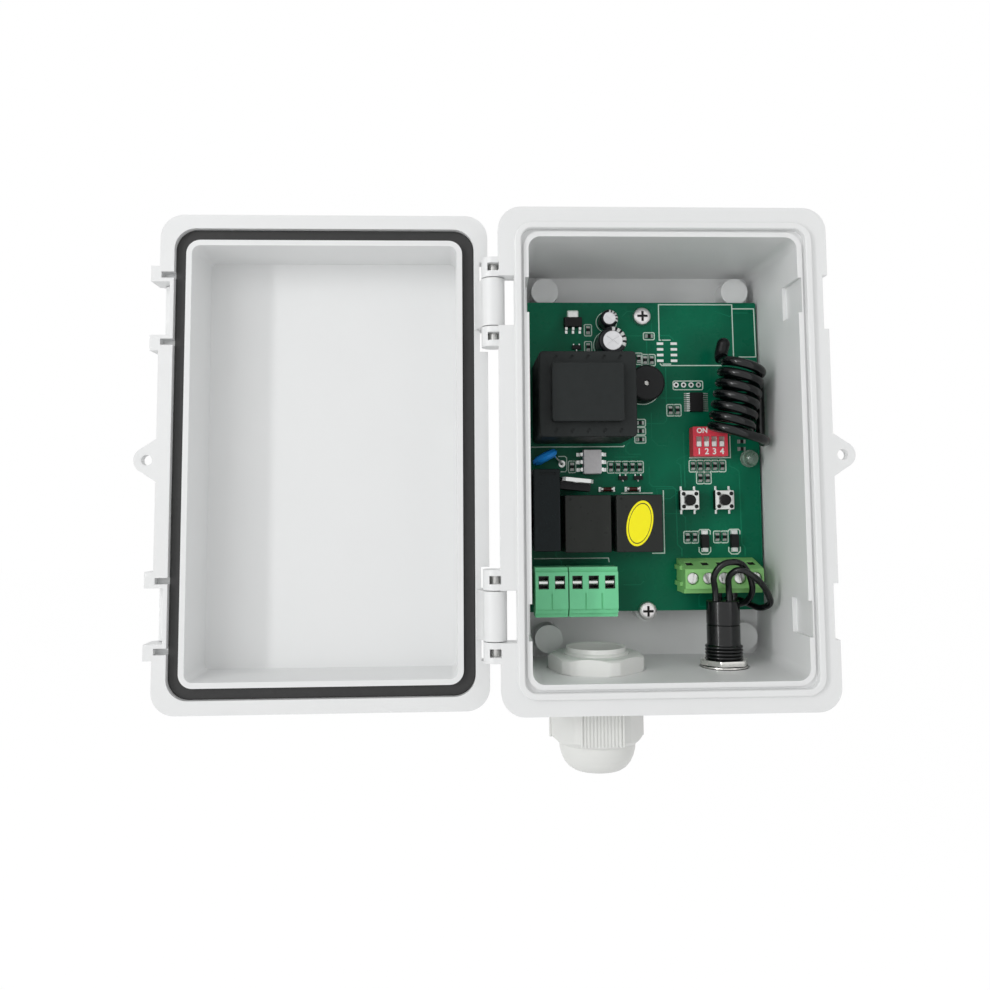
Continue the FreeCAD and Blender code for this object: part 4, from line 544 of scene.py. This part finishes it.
def dress(node, material, edge_mm=0.0, segments=2):
    """Copy of a frame node with rounded edges and even shading, shown in its place."""
    mesh = frame["nodes"][node].data.copy()
    mesh.name = node + "_finished"
    work = welded(mesh)
    work.to_mesh(mesh)
    work.free()
    if "custom_normal" in mesh.attributes:
        mesh.attributes.remove(mesh.attributes["custom_normal"])
    piece = placed(node + "_finished", mesh)
    if edge_mm:
        bevel = piece.modifiers.new("moulded edge", "BEVEL")
        bevel.width = edge_mm * MM
        bevel.segments = segments
        bevel.limit_method = "ANGLE"
        bevel.angle_limit = math.radians(34)
        bevel.use_clamp_overlap = True
        bevel.miter_outer = "MITER_ARC"
        settle(piece)
    piece.data.shade_smooth()
    piece.data.set_sharp_from_angle(angle=math.radians(38))
    # Large flat faces keep one tone up to their rounded edges.
    weigh = piece.modifiers.new("face weights", "WEIGHTED_NORMAL")
    weigh.mode = "FACE_AREA_WITH_ANGLE"
    weigh.keep_sharp = True
    settle(piece)
    complete(piece, material, frame["nodes"][node]["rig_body"])
    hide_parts(node)


def dress_all(nodes, material, edge_mm=0.0, segments=2):
    """Dresses several nodes alike."""
    for node in nodes:
        dress(node, material, edge_mm, segments)


def ribbon(work, points, width, y_low, y_high, closed):
    """Flat line along points in the board's plane, in millimetres, with mitred corners."""
    count = len(points)
    spans = count if closed else count - 1
    normals = []
    for i in range(spans):
        (ax, az), (bx, bz) = points[i], points[(i + 1) % count]
        run = Vector((bx - ax, bz - az)).normalized()
        normals.append(Vector((-run.y, run.x)))
    rings = []
    for i, (x, z) in enumerate(points):
        before = normals[i - 1 if i or closed else 0]
        mitre = (before + normals[min(i, spans - 1)]).normalized()
        reach = mitre * width / 2 / max(mitre.dot(before), MITRE_LIMIT)
        rings.append([work.verts.new((px * MM, y * MM, pz * MM)) for px, pz in (
            (x + reach.x, z + reach.y), (x - reach.x, z - reach.y)) for y in (y_high, y_low)])
    for i in range(spans):
        a, b = rings[i], rings[(i + 1) % count]
        for j, k in ((1, 3), (2, 0), (0, 1), (3, 2)):
            work.faces.new((a[j], b[j], b[k], a[k]))
    if not closed:
        for end in (rings[0], rings[-1]):
            work.faces.new((end[0], end[1], end[3], end[2]))


def arc_points(x, z, radius, turns):
    """Points round a centre in the board's plane, at the given shares of a turn."""
    angles = [2 * math.pi * turn for turn in turns]
    return [(x + radius * math.cos(a), z + radius * math.sin(a)) for a in angles]


def rounded_points(x0, x1, z0, z1, radius, steps=3):
    """Corners of a rectangle with rounded corners, from its upper right corner round to the left."""
    points = []
    for corner, (right, up) in enumerate(((1, 1), (0, 1), (0, 0), (1, 0))):
        x, z = x1 - radius if right else x0 + radius, z1 - radius if up else z0 + radius
        points += arc_points(x, z, radius, [(corner + i / steps) / 4 for i in range(steps + 1)])
    return points


def board_lines(name, lines, material):
    """Piece on the board made of flat lines, each given as points, width, rise and whether it closes."""
    work = bmesh.new()
    face = board_front()
    for points, width, rise, closed in lines:
        ribbon(work, points, width, face - rise, face + ROOT, closed)
    bmesh.ops.recalc_face_normals(work, faces=work.faces)
    mesh = bpy.data.meshes.new(name)
    work.to_mesh(mesh)
    work.free()
    complete(placed(name, mesh), material, "base")


def block_shape(tree, entry):
    """Block of a given size."""
    return add(tree, "MeshCube", {"Size": entry["Size"]}).outputs["Mesh"]


def ring_shape(tree, entry):
    """Flat ring that faces the front."""
    join = add(tree, "JoinGeometry")
    for name in ("Outer radius", "Inner radius"):
        circle = add(tree, "CurvePrimitiveCircle", {"Resolution": 24, "Radius": entry[name]})
        tree.links.new(circle.outputs["Curve"], join.inputs["Geometry"])
    fill = add(tree, "FillCurve", {"Curve": join.outputs["Geometry"]})
    thick = add(tree, "ExtrudeMesh", {"Mesh": fill.outputs["Mesh"], "Offset Scale": entry["Thickness"]})
    turn = add(tree, "Transform", {"Geometry": thick.outputs["Mesh"], "Rotation": (math.radians(90), 0, 0)})
    return turn.outputs["Geometry"]


def point_tree(shape, sizes, size_type, material):
    """Geometry tree that sets a shape on every point and makes it plain mesh, its inputs and its material."""
    tree = bpy.data.node_groups.new("shapes on points", "GeometryNodeTree")
    new = tree.interface.new_socket
    for way in ("INPUT", "OUTPUT"):
        new("Geometry", in_out=way, socket_type="NodeSocketGeometry")
    inputs = [new(size, in_out="INPUT", socket_type=size_type).identifier for size in sizes]
    entry = tree.nodes.new("NodeGroupInput").outputs
    spread = add(tree, "InstanceOnPoints", {"Points": entry["Geometry"], "Instance": shape(tree, entry)})
    real = add(tree, "RealizeInstances", {"Geometry": spread.outputs["Instances"]})
    paint = add(tree, "SetMaterial", {"Geometry": real.outputs["Geometry"], "Material": material})
    tree.links.new(paint.outputs["Geometry"], tree.nodes.new("NodeGroupOutput").inputs["Geometry"])
    return tree, inputs, material


def scattered(name, places, rise, kind, *sizes):
    """Runs a point tree over places on the board and keeps the result as a plain piece."""
    tree, inputs, material = kind
    y = board_front() - rise
    mesh = bpy.data.meshes.new(name)
    mesh.from_pydata([Vector((x, y, z)) * MM for x, z in places], [], [])
    piece = placed(name, mesh)
    modifier = piece.modifiers.new("spread", "NODES")
    modifier.node_group = tree
    for identifier, size in zip(inputs, sizes):
        modifier[identifier] = size * MM
    settle(piece)
    complete(piece, material, "base")


def written(name, text, height, x, y, z, material):
    """Plain raised figure on a face that looks to the front."""
    curve = bpy.data.curves.new(name, "FONT")
    curve.body = text
    curve.size = height / CAPITAL_SHARE * MM
    curve.align_x = curve.align_y = "CENTER"
    curve.extrude = 0.02 * MM
    curve.offset = 0.07 * MM
    source = placed(name + "_curve", curve)
    mesh = evaluated_mesh(source)
    bpy.data.objects.remove(source)
    place = Vector((x, y - ROOT, z)) * MM
    mesh.transform(Matrix.Translation(place) @ Matrix.Rotation(math.radians(90), 4, "X"))
    complete(placed(name, mesh), material, "base")


# ---- operators ----

class SHUTTER_OT_enclosure(bpy.types.Operator):
    """Dresses the base, cover, gasket, latches and pins"""
    bl_idname = "shutter.enclosure"
    bl_label = "Enclosure"

    def execute(self, context):
        own = settings().enclosure
        edge = own.edge / MM
        shell = moulded_abs("moulded pale ABS", own.shell)
        dress_all(("base_housing", "cover"), shell, edge, 3)
        dress_all(("upper_latch", "lower_latch"), shell, edge * 0.6)
        dress("cover_gasket", foam_rubber("foam rubber cord", own.gasket))
        dress_all(("hinge_pins", "latch_pins"), brushed_pin_steel("drawn steel pin", own.pin), 0.2)
        return {"FINISHED"}


# Places and sizes on the board are in millimetres, places as (x, z).
POWER_DIODE_XS = (19.75, 29.75)
GLASS_DIODE_XS = (-12.8, -4.1)
COUPLER_X = -17.85
CONTROLLER = (18.0, 20.1)
# Seeded tracks: number of runs, length of a run and of a step aside, and the chance of a turn.
TRACK_RUNS = (2, 5)
TRACK_RUN = (2.5, 12)
TRACK_STEP = (0.6, 2.4)
TURN_CHANCE = 0.4
# A route drops steps shorter than the first number, and turns back sharper than the second (a cosine).
SHORTEST_STEP, SHARPEST_TURN = 0.3, -0.2
TRACK_RISE, TRACK_RISE_STEP = 0.02, 0.0001
# The tracks that show in the open fields of the board.
SEEN_TRACK_RISE = 0.024
SEEN_TRACKS = (
    ((7.9, 32.0), (7.9, 14.0), (6.9, 12.9), (0.3, 12.9)), ((1.6, 41.4), (1.6, 36.4)),
    ((-6.3, 42.8), (0.8, 42.8)), ((6.3, 42.9), (9.4, 42.9), (10.9, 41.4)),
    ((28.9, 0.4), (28.9, -1.6), (30.9, -2.4), (32.0, -3.4), (32.3, -27.4), (33.3, -28.8), (33.3, -31.6)),
    ((1.6, -1.6), (1.6, -7.2), (2.6, -8.2), (9.5, -8.4), (10.4, -9.4), (10.6, -27.6), (12.0, -29.0),
     (12.0, -31.6)),
    ((10.8, 0.0), (12.2, -1.1), (12.4, -8.6)), ((13.4, 10.0), (13.6, -8.6)),
    ((-1.0, 2.6), (-5.0, 2.6), (-6.2, 3.8), (-6.1, 5.6), (-4.6, 6.8)), ((-10.0, 1.7), (-2.0, 1.7)),
)
INK_RISE = 0.035
PRINTED_LINES = (
    # radio module and the field of its antenna
    ((6.6, 41.3), (5.9, 41.3), (5.9, 53.5), (31.1, 53.5), (31.25, 35.4)),
    ((6.0, 33.3), (6.6, 32.6), (27.0, 32.6)),
    ((31.3, 52.1), (38.6, 52.1), (38.9, 35.5), (33.0, 35.5)),
    ((6.9, 41.3), (9.8, 41.3)), ((6.9, 33.1), (9.8, 33.1)),
    # transformer, address switch, plug blocks, relays and disc
    ((-37.8, 5.2), (-6.9, 5.2), (-6.6, 5.7)),
    ((15.2, 1.3), (29.2, 1.3), (29.2, 8.6)),
    ((-37.4, -31.8), (-12.6, -31.8), (-12.4, -33.2)),
    ((-8.0, -10.4), (2.6, -10.4)), ((6.2, -9.5), (6.2, -30.4), (2.0, -30.4)),
    ((-28.9, 2.0), (-26.6, 2.0), (-26.1, 1.5), (-26.1, -2.6), (-26.6, -3.1), (-28.2, -3.1)),
)
CIRCLE_STEPS = 28
# Chip parts further to the right have no printed outline.
LAST_OUTLINE_X = 31
# Rows of lands: piece, metal, places, width and height.
LAND_RISE, LAND_THICKNESS = 0.01, 0.06
LANDS = (
    ("module_lands", "tin", [(x, z) for x in (6.15, 10.85) for z in (34.25, 36.2, 38.15, 40.1)],
     2.2, 0.85),
    ("diode_lands", "tin", [(x, z) for x in POWER_DIODE_XS for z in (-23.6, -29.5)], 2.3, 1.3),
    ("glass_diode_lands", "tin", [(x, -9.1) for centre in GLASS_DIODE_XS for x in span(centre, 2.3)],
     0.8, 1.6),
    ("coupler_lands", "tin", [(x, z) for x in span(COUPLER_X, 4.4) for z in (-2.54, 0.0, 2.54)],
     1.2, 1.2),
    ("controller_lands", "solder", [(x, CONTROLLER[1] + (i - 4.5) * 0.65) for x in span(CONTROLLER[0], 3.1)
                                    for i in range(10)], 2.0, 0.36),
)
# Plated rings round holes: piece, places, outer and inner radius.
RING_RISE = -0.005
RINGS = (("header_rings", [(11.35 + 2.54 * i, 26.0) for i in range(4)], 0.9, 0.46),
         ("disc_ring", [(-27.7, -0.5)], 1.15, 0.5))
# Ends of an upright chip part: piece, distance from its middle, rise and size.
CHIP_ENDS = (("end_caps", 0.76, 0.31, (1.16, 0.66, 0.42)),
             ("lands", 1.0, LAND_RISE, (1.3, LAND_THICKNESS, 0.8)))


def track_route(draw, low, high):
    """Seeded route of a track: straight runs joined by 45 degree steps."""
    x = draw.uniform(low.x, high.x)
    z = draw.uniform(low.z, high.z)
    points = [(x, z)]
    upright = draw.random() < 0.5
    for _ in range(draw.randint(*TRACK_RUNS)):
        run = draw.uniform(*TRACK_RUN) * draw.choice((-1, 1))
        step = draw.uniform(*TRACK_STEP) * draw.choice((-1, 1))
        x, z = (x, z + run) if upright else (x + run, z)
        points.append((x, z))
        x, z = x + step, z + abs(step) * math.copysign(1, run)
        points.append((x, z))
        if draw.random() < TURN_CHANCE:
            upright = not upright
    return [(min(max(px, low.x), high.x), min(max(pz, low.z), high.z)) for px, pz in points]


def tidy_route(points):
    """Drops points that repeat or double back."""
    kept = [points[0]]
    for p in points[1:]:
        step = Vector(p) - Vector(kept[-1])
        if step.length < SHORTEST_STEP:
            continue
        if len(kept) > 1:
            before = Vector(kept[-1]) - Vector(kept[-2])
            if before.normalized().dot(step.normalized()) < SHARPEST_TURN:
                continue
        kept.append(p)
    return kept


def chip_centres():
    """Centres of the chip parts, read from the frame's own mesh, each with whether the part lies level."""
    found = []
    work = welded(frame["nodes"]["chip_parts"].data)
    left = set(work.verts)
    while left:
        island, stack = [], [left.pop()]
        while stack:
            corner = stack.pop()
            island.append(corner.co / MM)
            near = {edge.other_vert(corner) for edge in corner.link_edges} & left
            left -= near
            stack += near
        low, high = [Vector([pick(c[i] for c in island) for i in range(3)]) for pick in (min, max)]
        found.append(((low + high) / 2, high.z - low.z < high.x - low.x))
    work.free()
    return sorted(found, key=lambda item: (round(item[0].x, 2), round(item[0].z, 2)))


class SHUTTER_OT_board(bpy.types.Operator):
    """Dresses the circuit board and adds its tracks, printed lines, pads and solder"""
    bl_idname = "shutter.board"
    bl_label = "Circuit board"

    def execute(self, context):
        own = settings().board
        dress("circuit_board", solder_mask("green solder mask on laminate", own))
        self.tracks(own)
        self.prints(own)
        self.pads(own)
        self.screws()
        return {"FINISHED"}

    def screws(self):
        """Nickel plated pan heads, with painted shade in the cross recess."""
        low, high = box_mm("board_screws")
        radius = (high.x - low.x) / 2
        # Painted shade: the cross recess of each head is coloured dark.
        recess = [(span(0, across), (low.y - 0.1, low.y + 2.0), span(z, up))
                  for z in (low.z + radius, high.z - radius) for across, up in ((1.75, 0.4), (0.4, 1.75))]
        plate = plated_metal("nickel plated screw", linear("#E6E3E3"), 0.45, recess, linear("#1E1C1C"))
        dress("board_screws", plate, 0.1)

    def tracks(self, own):
        """Copper tracks under the varnish, a hair above the laminate."""
        draw = random.Random(own.seed)
        low, high = box_mm("circuit_board")
        inset = Vector((1.2, 0, 1.2))
        thin = own.track_width / MM
        lines = []
        for number in range(own.track_count):
            route = tidy_route(track_route(draw, low + inset, high - inset))
            width = thin * draw.choice((0.8, 1.0, 1.0))
            if len(route) > 1:
                # Each lies a little further out than the one before, so that two never share a face.
                lines.append((route, width, TRACK_RISE + number * TRACK_RISE_STEP, False))
        lines += [(route, thin * 1.5, SEEN_TRACK_RISE, False) for route in SEEN_TRACKS]
        varnish = moulded_bright("solder mask over copper track", own.trace, 0.3, 0.12)
        board_lines("copper_tracks", lines, varnish)

    def prints(self, own):
        """White printed lines: component outlines, the radio module's place and brackets."""
        width = own.ink_width / MM
        # header and regulator tab, then the chip parts
        closed = [rounded_points(10.3, 20.4, 24.35, 27.3, 0.5),
                  rounded_points(*span(middle("voltage_regulator").x, 1.75), 49.0, 51.3, 0.3)]
        for c, level in chip_centres():
            if c.x <= LAST_OUTLINE_X:
                half_x, half_z = (1.85, 1.2) if level else (1.22, 1.95)
                closed.append(rounded_points(*span(c.x, half_x), *span(c.z, half_z), 0.45))
        lines = [(points, width, INK_RISE, True) for points in closed]
        lines += [(points, width, INK_RISE, False) for points in (*self.brackets(), *PRINTED_LINES)]
        full_turn = [i / CIRCLE_STEPS for i in range(CIRCLE_STEPS)]
        for node, grow in (("buzzer", 0.3), ("large_capacitor", 0.35), ("small_capacitor", 0.5)):
            low, high = box_mm(node)
            centre = (low + high) / 2
            circle = arc_points(centre.x, centre.z, high.x - centre.x + grow, full_turn)
            lines.append((circle, width * 0.8, INK_RISE, True))
        board_lines("printed_lines", lines, printed_ink("white epoxy ink", own.ink))

    def brackets(self):
        """Open brackets with cut corners at both ends of each power diode."""
        for x in POWER_DIODE_XS:
            left, right = span(x, 1.95)
            for near, far, corner in ((-24.4, -22.7, 0.5), (-28.5, -30.9, 0.9)):
                into = far - math.copysign(corner, far - near)
                yield ((left, near), (left, into), (left + corner, far), (right - corner, far), (right, into),
                       (right, near))

    def pads(self, own):
        """Tinned pads, end caps and solder, spread by geometry trees."""
        tin = tinned_copper("tin on copper", own.tin, 0.36)
        solder = tinned_copper("dull solder", own.solder, 0.45)
        blocks = {word: point_tree(block_shape, ["Size"], "NodeSocketVector", metal)
                  for word, metal in (("tin", tin), ("solder", solder))}
        rings = point_tree(ring_shape, ["Outer radius", "Inner radius", "Thickness"], "NodeSocketFloat", tin)
        for word, level in (("upright", False), ("level", True)):
            centres = [centre for centre, lies in chip_centres() if lies == level]
            for name, reach, rise, size in CHIP_ENDS:
                run, size = Vector((0, 0, reach)), Vector(size)
                if level:
                    run, size = run.zyx, size.zyx
                places = [(c.x + run.x * side, c.z + run.z * side) for c in centres for side in (1, -1)]
                scattered(word + "_" + name, places, rise, blocks["solder"], size)
        for name, metal, places, width, height in LANDS:
            scattered(name, places, LAND_RISE, blocks[metal], Vector((width, LAND_THICKNESS, height)))
        for name, places, outer, inner in RINGS:
            scattered(name, places, RING_RISE, rings, outer, inner, LAND_THICKNESS)


class SHUTTER_OT_components(bpy.types.Operator):
    """Dresses the components on the board"""
    bl_idname = "shutter.components"
    bl_label = "Components"

    def execute(self, context):
        own = settings().parts
        tin = settings().board.tin
        edge = own.edge / MM
        dress("transformer", moulded_black("potted case", own.potting, 0.5), edge * 1.6)
        dress_all(("left_relay", "right_relay"), moulded_black("relay case", own.relay, 0.34), edge)
        dress("film_capacitor", moulded_black("boxed capacitor case", own.block, 0.22), edge)
        dress("chip_parts", moulded_black("chip body", own.chip, 0.5), 0.05)
        dress("glass_diodes", capped_glass("glass diode", GLASS_DIODE_XS), 0.05)
        dress("indicator_lamp", clear_resin("clear epoxy"))
        dress("relay_sticker", paper_sticker("coated paper", own.sticker, middle("relay_sticker"),
                                             (8.2 * MM, 15.2 * MM), math.radians(13)))
        x, y, z = middle("buzzer")
        front = box_mm("buzzer")[0].y
        hole = (span(x, 0.85), (front + 1.6, front + 2.6), span(z, 0.85))
        dress("buzzer", sounder_case("sounder case and plate", hole), edge)
        for node in ("large_capacitor", "small_capacitor"):
            low, high = box_mm(node)
            dress(node, sleeved_can(node + " sleeve", (low + high) / 2, (high.x - low.x) / 2, low.y), 0.06)
        self.leaded(own, tin)
        self.address_switch(own)
        self.buttons(tin)
        return {"FINISHED"}

    def leaded(self, own, tin):
        """Cases with tinned leads: the case is masked by its own box."""
        chip, coupler, face = middle("controller_chip").x, middle("optocoupler").x, board_front()
        for node, name, colour, boxes, edge in (
                ("controller_chip", "controller package", own.chip, [(span(chip, 2.22), None, None)], 0.06),
                ("voltage_regulator", "regulator package", own.chip, [(None, None, (45.52, 49.08))], 0.08),
                ("optocoupler", "coupler package", own.coupler, [(span(coupler, 3.12), None, None)], 0.1),
                ("power_diodes", "diode package", own.chip, [(None, None, span(-26.5, 2.22))], 0.1),
                ("small_transistors", "transistor package", own.chip,
                 [(None, None, (-5.96, -4.64)), (None, None, (38.14, 39.46))], 0.05)):
            dress(node, case_and_leads(name, colour, boxes, tin), edge)
        dipped = [((-40.0, -30.0), None, None)]
        dress("disc_capacitor", case_and_leads("blue dipped epoxy", own.dipped, dipped, tin, 0.25))
        turned = (Vector((-24.85, 0, -8.3)) * MM, math.radians(6))
        body = [(None, (face - 13.02, face - 3.98), (-1.22, 1.18))]
        dress("power_transistor", case_and_leads("power package", own.chip, body, tin, 0.4, turned), 0.1)

    def address_switch(self, own):
        """Red block with pale ribs in its slots, white sliders and printed figures."""
        ivory = moulded_bright("white polyamide", own.ivory, 0.4)
        low, high = box_mm("address_switch_body")
        sliders = ["address_slider_" + str(number) for number in range(1, 5)]
        # The slots' floors and walls are those of the pale carrier under the red cover.
        slots = [(span(middle(node).x, 0.95), (low.y + 0.25, low.y + 1.6), (4.5, 8.2)) for node in sliders]
        case = case_and_leads("red polyester and pale carrier", linear("#C9B9B4"), slots, own.red, 0.4,
                              metallic=0.0)
        dress("address_switch_body", case)
        for number, node in enumerate(sliders, 1):
            dress(node, ivory, 0.08)
            written("figure_" + str(number), str(number), 1.95, middle(node).x, low.y, low.z + 1.55, ivory)
        written("figure_on", "ON", 1.6, low.x + 3.1, low.y, high.z - 1.35, ivory)

    def buttons(self, tin):
        """Square push buttons: tinned plate in front, black base, rivets and plunger."""
        face = board_front()
        plunger = moulded_black("button plunger", linear("#1E1E1F"), 0.35)
        for side in ("left", "right"):
            node = side + "_button_body"
            x, y, z = middle(node)
            base = (span(x, 3.12), (face - 3.12, face - 0.1), span(z, 3.12))
            collar = (span(x, 1.85), (face - 3.56, face), span(z, 1.85))
            rivets = [(span(across, 0.68), (face - 3.95, face - 3.62), span(up, 0.68))
                      for across in span(x, 2.1) for up in span(z, 2.1)]
            case = case_and_leads(side + " button case", linear("#141414"), [base, collar, *rivets], tin)
            dress(node, case, 0.08)
            dress(side + "_button_plunger", plunger, 0.1)


class SHUTTER_OT_terminals(bpy.types.Operator):
    """Dresses the plug blocks and the screw strip"""
    bl_idname = "shutter.terminals"
    bl_label = "Terminals"

    def execute(self, context):
        own = settings().terminals
        plug = moulded_bright("green polyamide plug", own.plug, 0.42)
        for way in ("two_way", "three_way"):
            dress(way + "_plug", plug, 0.14)
            self.header(way + "_header", own)
            self.clamps(way + "_clamps", own)
        metal = plated_metal("zinc plated clamp", own.metal, 0.3)
        dress_all(("five_way_screws", "five_way_clamps"), metal, 0.08)
        self.strip(own)
        return {"FINISHED"}

    def header(self, node, own):
        """Open green shroud, with its floor and walls masked from the pins inside."""
        low, high = box_mm(node)
        face = board_front()
        centre = (low.z + high.z) / 2
        walls = [((low.x - 1, low.x + 0.95), None, None), ((high.x - 0.95, high.x + 1), None, None),
                 (None, None, (low.z - 1, centre - 0.56)), (None, None, (centre + 0.56, high.z + 1)),
                 (None, (face - 2.02, face), None)]
        dress(node, case_and_leads(node + " polyamide", own.plug, walls, own.metal, 0.45), 0.1)

    def clamps(self, node, own):
        """Cages with painted shade where their windows shade them: only the bar across each one stays bright.
        """
        front = box_mm(node)[0].y
        # Painted shade over the cage's front and deep parts; the bar between them keeps its plate.
        cage = [(None, (front - 0.1, front + 0.5), None), (None, (front + 2.3, front + 9.0), (-42.0, -30.0))]
        dress(node, plated_metal(node + " steel", own.metal, 0.25, cage, linear("#2A2422")), 0.06)

    def strip(self, own):
        """Screw strip, with painted shade inside the slots of its sloped back."""
        face, back = board_front(), box_mm("five_way_terminal")[1].z
        slots = [(span(10.1 + 5.08 * (i + 0.5), 1.12), (face - 8.22, face - 4.38), (back - 4.3, back - 1.3))
                 for i in range(5)]
        dress("five_way_terminal", slotted_polyamide("green polyamide strip", own.strip, slots), 0.14)


class SHUTTER_OT_wiring(bpy.types.Operator):
    """Dresses the antenna, the switch wires and the panel switch"""
    bl_idname = "shutter.wiring"
    bl_label = "Wiring and switch"

    def execute(self, context):
        own = settings().wiring
        dress("antenna_coil", wire_skin("glossy antenna insulation", own.insulation, 0.15, 0.42))
        dress("antenna_cap", wire_skin("antenna sleeve", own.insulation, 0.3, 0.25))
        skin = wire_skin("switch wire insulation", own.insulation, 0.22, 0.4)
        dress_all(("left_switch_wire", "right_switch_wire"), skin)
        polished = moulded_black("polished switch sleeve", own.switch, 0.16, 0.45, (0.8, 0.003))
        dress("push_switch_body", polished, 0.12)
        for node in ("push_switch_nut", "push_switch_washer"):
            # Painted shade: a dark band along the lowest edge of each, at its seam with the part below.
            seam = box_mm(node)[0].z
            shade = [(None, None, (seam - 0.1, seam + 0.3))]
            nickel = plated_metal(node + " bright nickel", own.nickel, 0.2, shade, linear("#2C2C2B"))
            dress(node, nickel, 0.12)
        dress("push_switch_button", moulded_bright("red button", own.button, 0.3), 0.1)
        return {"FINISHED"}


class SHUTTER_OT_gland(bpy.types.Operator):
    """Dresses the cable gland"""
    bl_idname = "shutter.gland"
    bl_label = "Cable gland"

    def execute(self, context):
        own = settings().wiring
        nylon = moulded_abs("moulded pale polyamide", own.nylon)
        dress("gland_body", nylon)
        dress_all(("gland_lock_nut", "gland_dome_nut"), nylon, 0.2)
        rubber = foam_rubber("moulded rubber", own.seal)
        dress("gland_washer", rubber, 0.1)
        dress("gland_seal", rubber)
        return {"FINISHED"}


# Lamps: name, place, width and height, in metres.
LAMPS = (("key", (-1.12, -0.93, 0.05), 0.1, 0.9), ("wide", (-0.95, -1.3, 0.45), 0.8, 0.8),
         ("fill", (0.62, -0.62, 0.15), 0.6, 0.6))


class SHUTTER_OT_stage(bpy.types.Operator):
    """Sets the floor, the lamps, the background and the camera"""
    bl_idname = "shutter.stage"
    bl_label = "Stage"

    def execute(self, context):
        own = settings().stage
        low, high = cad_box
        self.floor(own, Vector(low).z - own.drop)
        # The tall key lamp draws the streaks down the switch and across the antenna's turns.
        for (name, place, width, height), power in zip(LAMPS, (own.key, own.wide, own.fill)):
            self.lamp(name, power, place, width, height)
        self.background(own)
        self.camera()
        return {"FINISHED"}

    def floor(self, own, height):
        """Wide pale floor under the box."""
        reach = 3.0
        mesh = bpy.data.meshes.new("floor")
        mesh.from_pydata([(-reach, -reach, height), (reach, -reach, height), (reach, reach, height),
                          (-reach, reach, height)], [], [(0, 1, 2, 3)])
        mesh.materials.append(backdrop_paint("matt floor paint", own.floor, glow=1.04, keep=0.1))
        floor = placed("floor", mesh)

    def lamp(self, name, power, place, width, height):
        """Soft lamp turned to the middle of the box."""
        light = bpy.data.lights.new(name, "AREA")
        light.energy = power
        light.shape = "RECTANGLE"
        light.size, light.size_y = width, height
        lamp = placed(name, light)
        lamp.location = place
        lamp.rotation_euler = Vector(place).to_track_quat("Z", "Y").to_euler()

    def background(self, own):
        """White for the camera and reflections, softer for the light on the object."""
        world = bpy.data.worlds.new("studio")
        bpy.context.scene.world = world
        world.use_nodes = True
        tree = world.node_tree
        sky = tree.nodes["Background"]
        feed(tree, sky.inputs["Color"], WHITE)
        feed(tree, sky.inputs["Strength"], remap(tree, seen_directly(tree), own.ambient, 1.0))

    def camera(self):
        """Camera at the photograph's place, fitted to the box and the board."""
        data = bpy.data.cameras.new("camera")
        data.lens = 32.534
        data.sensor_width = 36.0
        data.shift_x, data.shift_y = -0.0110, -0.05641
        data.clip_start = 0.01
        camera = placed("camera", data)
        camera.location = (-0.058497, -0.310360, -0.015494)
        camera.rotation_euler = [math.radians(angle) for angle in (94.4932, 0.4568, -2.3027)]
        bpy.context.scene.camera = camera


class ShutterBoxSettings(bpy.types.PropertyGroup):
    """All settings of the box."""
    enclosure: PointerProperty(type=EnclosureSettings)
    board: PointerProperty(type=BoardSettings)
    parts: PointerProperty(type=PartSettings)
    terminals: PointerProperty(type=TerminalSettings)
    wiring: PointerProperty(type=WiringSettings)
    stage: PointerProperty(type=StageSettings)


OPERATORS = (SHUTTER_OT_enclosure, SHUTTER_OT_board, SHUTTER_OT_components, SHUTTER_OT_terminals,
             SHUTTER_OT_wiring, SHUTTER_OT_gland, SHUTTER_OT_stage)


class SHUTTER_PT_panel(bpy.types.Panel):
    """Lists the steps that dress the box"""
    bl_idname = "SHUTTER_PT_panel"
    bl_label = "Shutter Box"
    bl_space_type = "VIEW_3D"
    bl_region_type = "UI"
    bl_category = "Shutter Box"

    def draw(self, context):
        for operator in OPERATORS:
            self.layout.operator(operator.bl_idname)


CLASSES = (EnclosureSettings, BoardSettings, PartSettings, TerminalSettings, WiringSettings, StageSettings,
           ShutterBoxSettings) + OPERATORS + (SHUTTER_PT_panel,)


def register():
    """Registers every class and the scene's settings."""
    for item in CLASSES:
        bpy.utils.register_class(item)
    bpy.types.Scene.shutter_box = PointerProperty(type=ShutterBoxSettings)


def unregister():
    """Takes away the settings and every class."""
    del bpy.types.Scene.shutter_box
    for item in reversed(CLASSES):
        bpy.utils.unregister_class(item)


def main():
    """Runs every step in order."""
    register()
    bpy.ops.shutter.enclosure()
    bpy.ops.shutter.board()
    bpy.ops.shutter.components()
    bpy.ops.shutter.terminals()
    bpy.ops.shutter.wiring()
    bpy.ops.shutter.gland()
    bpy.ops.shutter.stage()
    bpy.context.scene.view_settings.view_transform = "Standard"


if __name__ == "__main__":
    main()
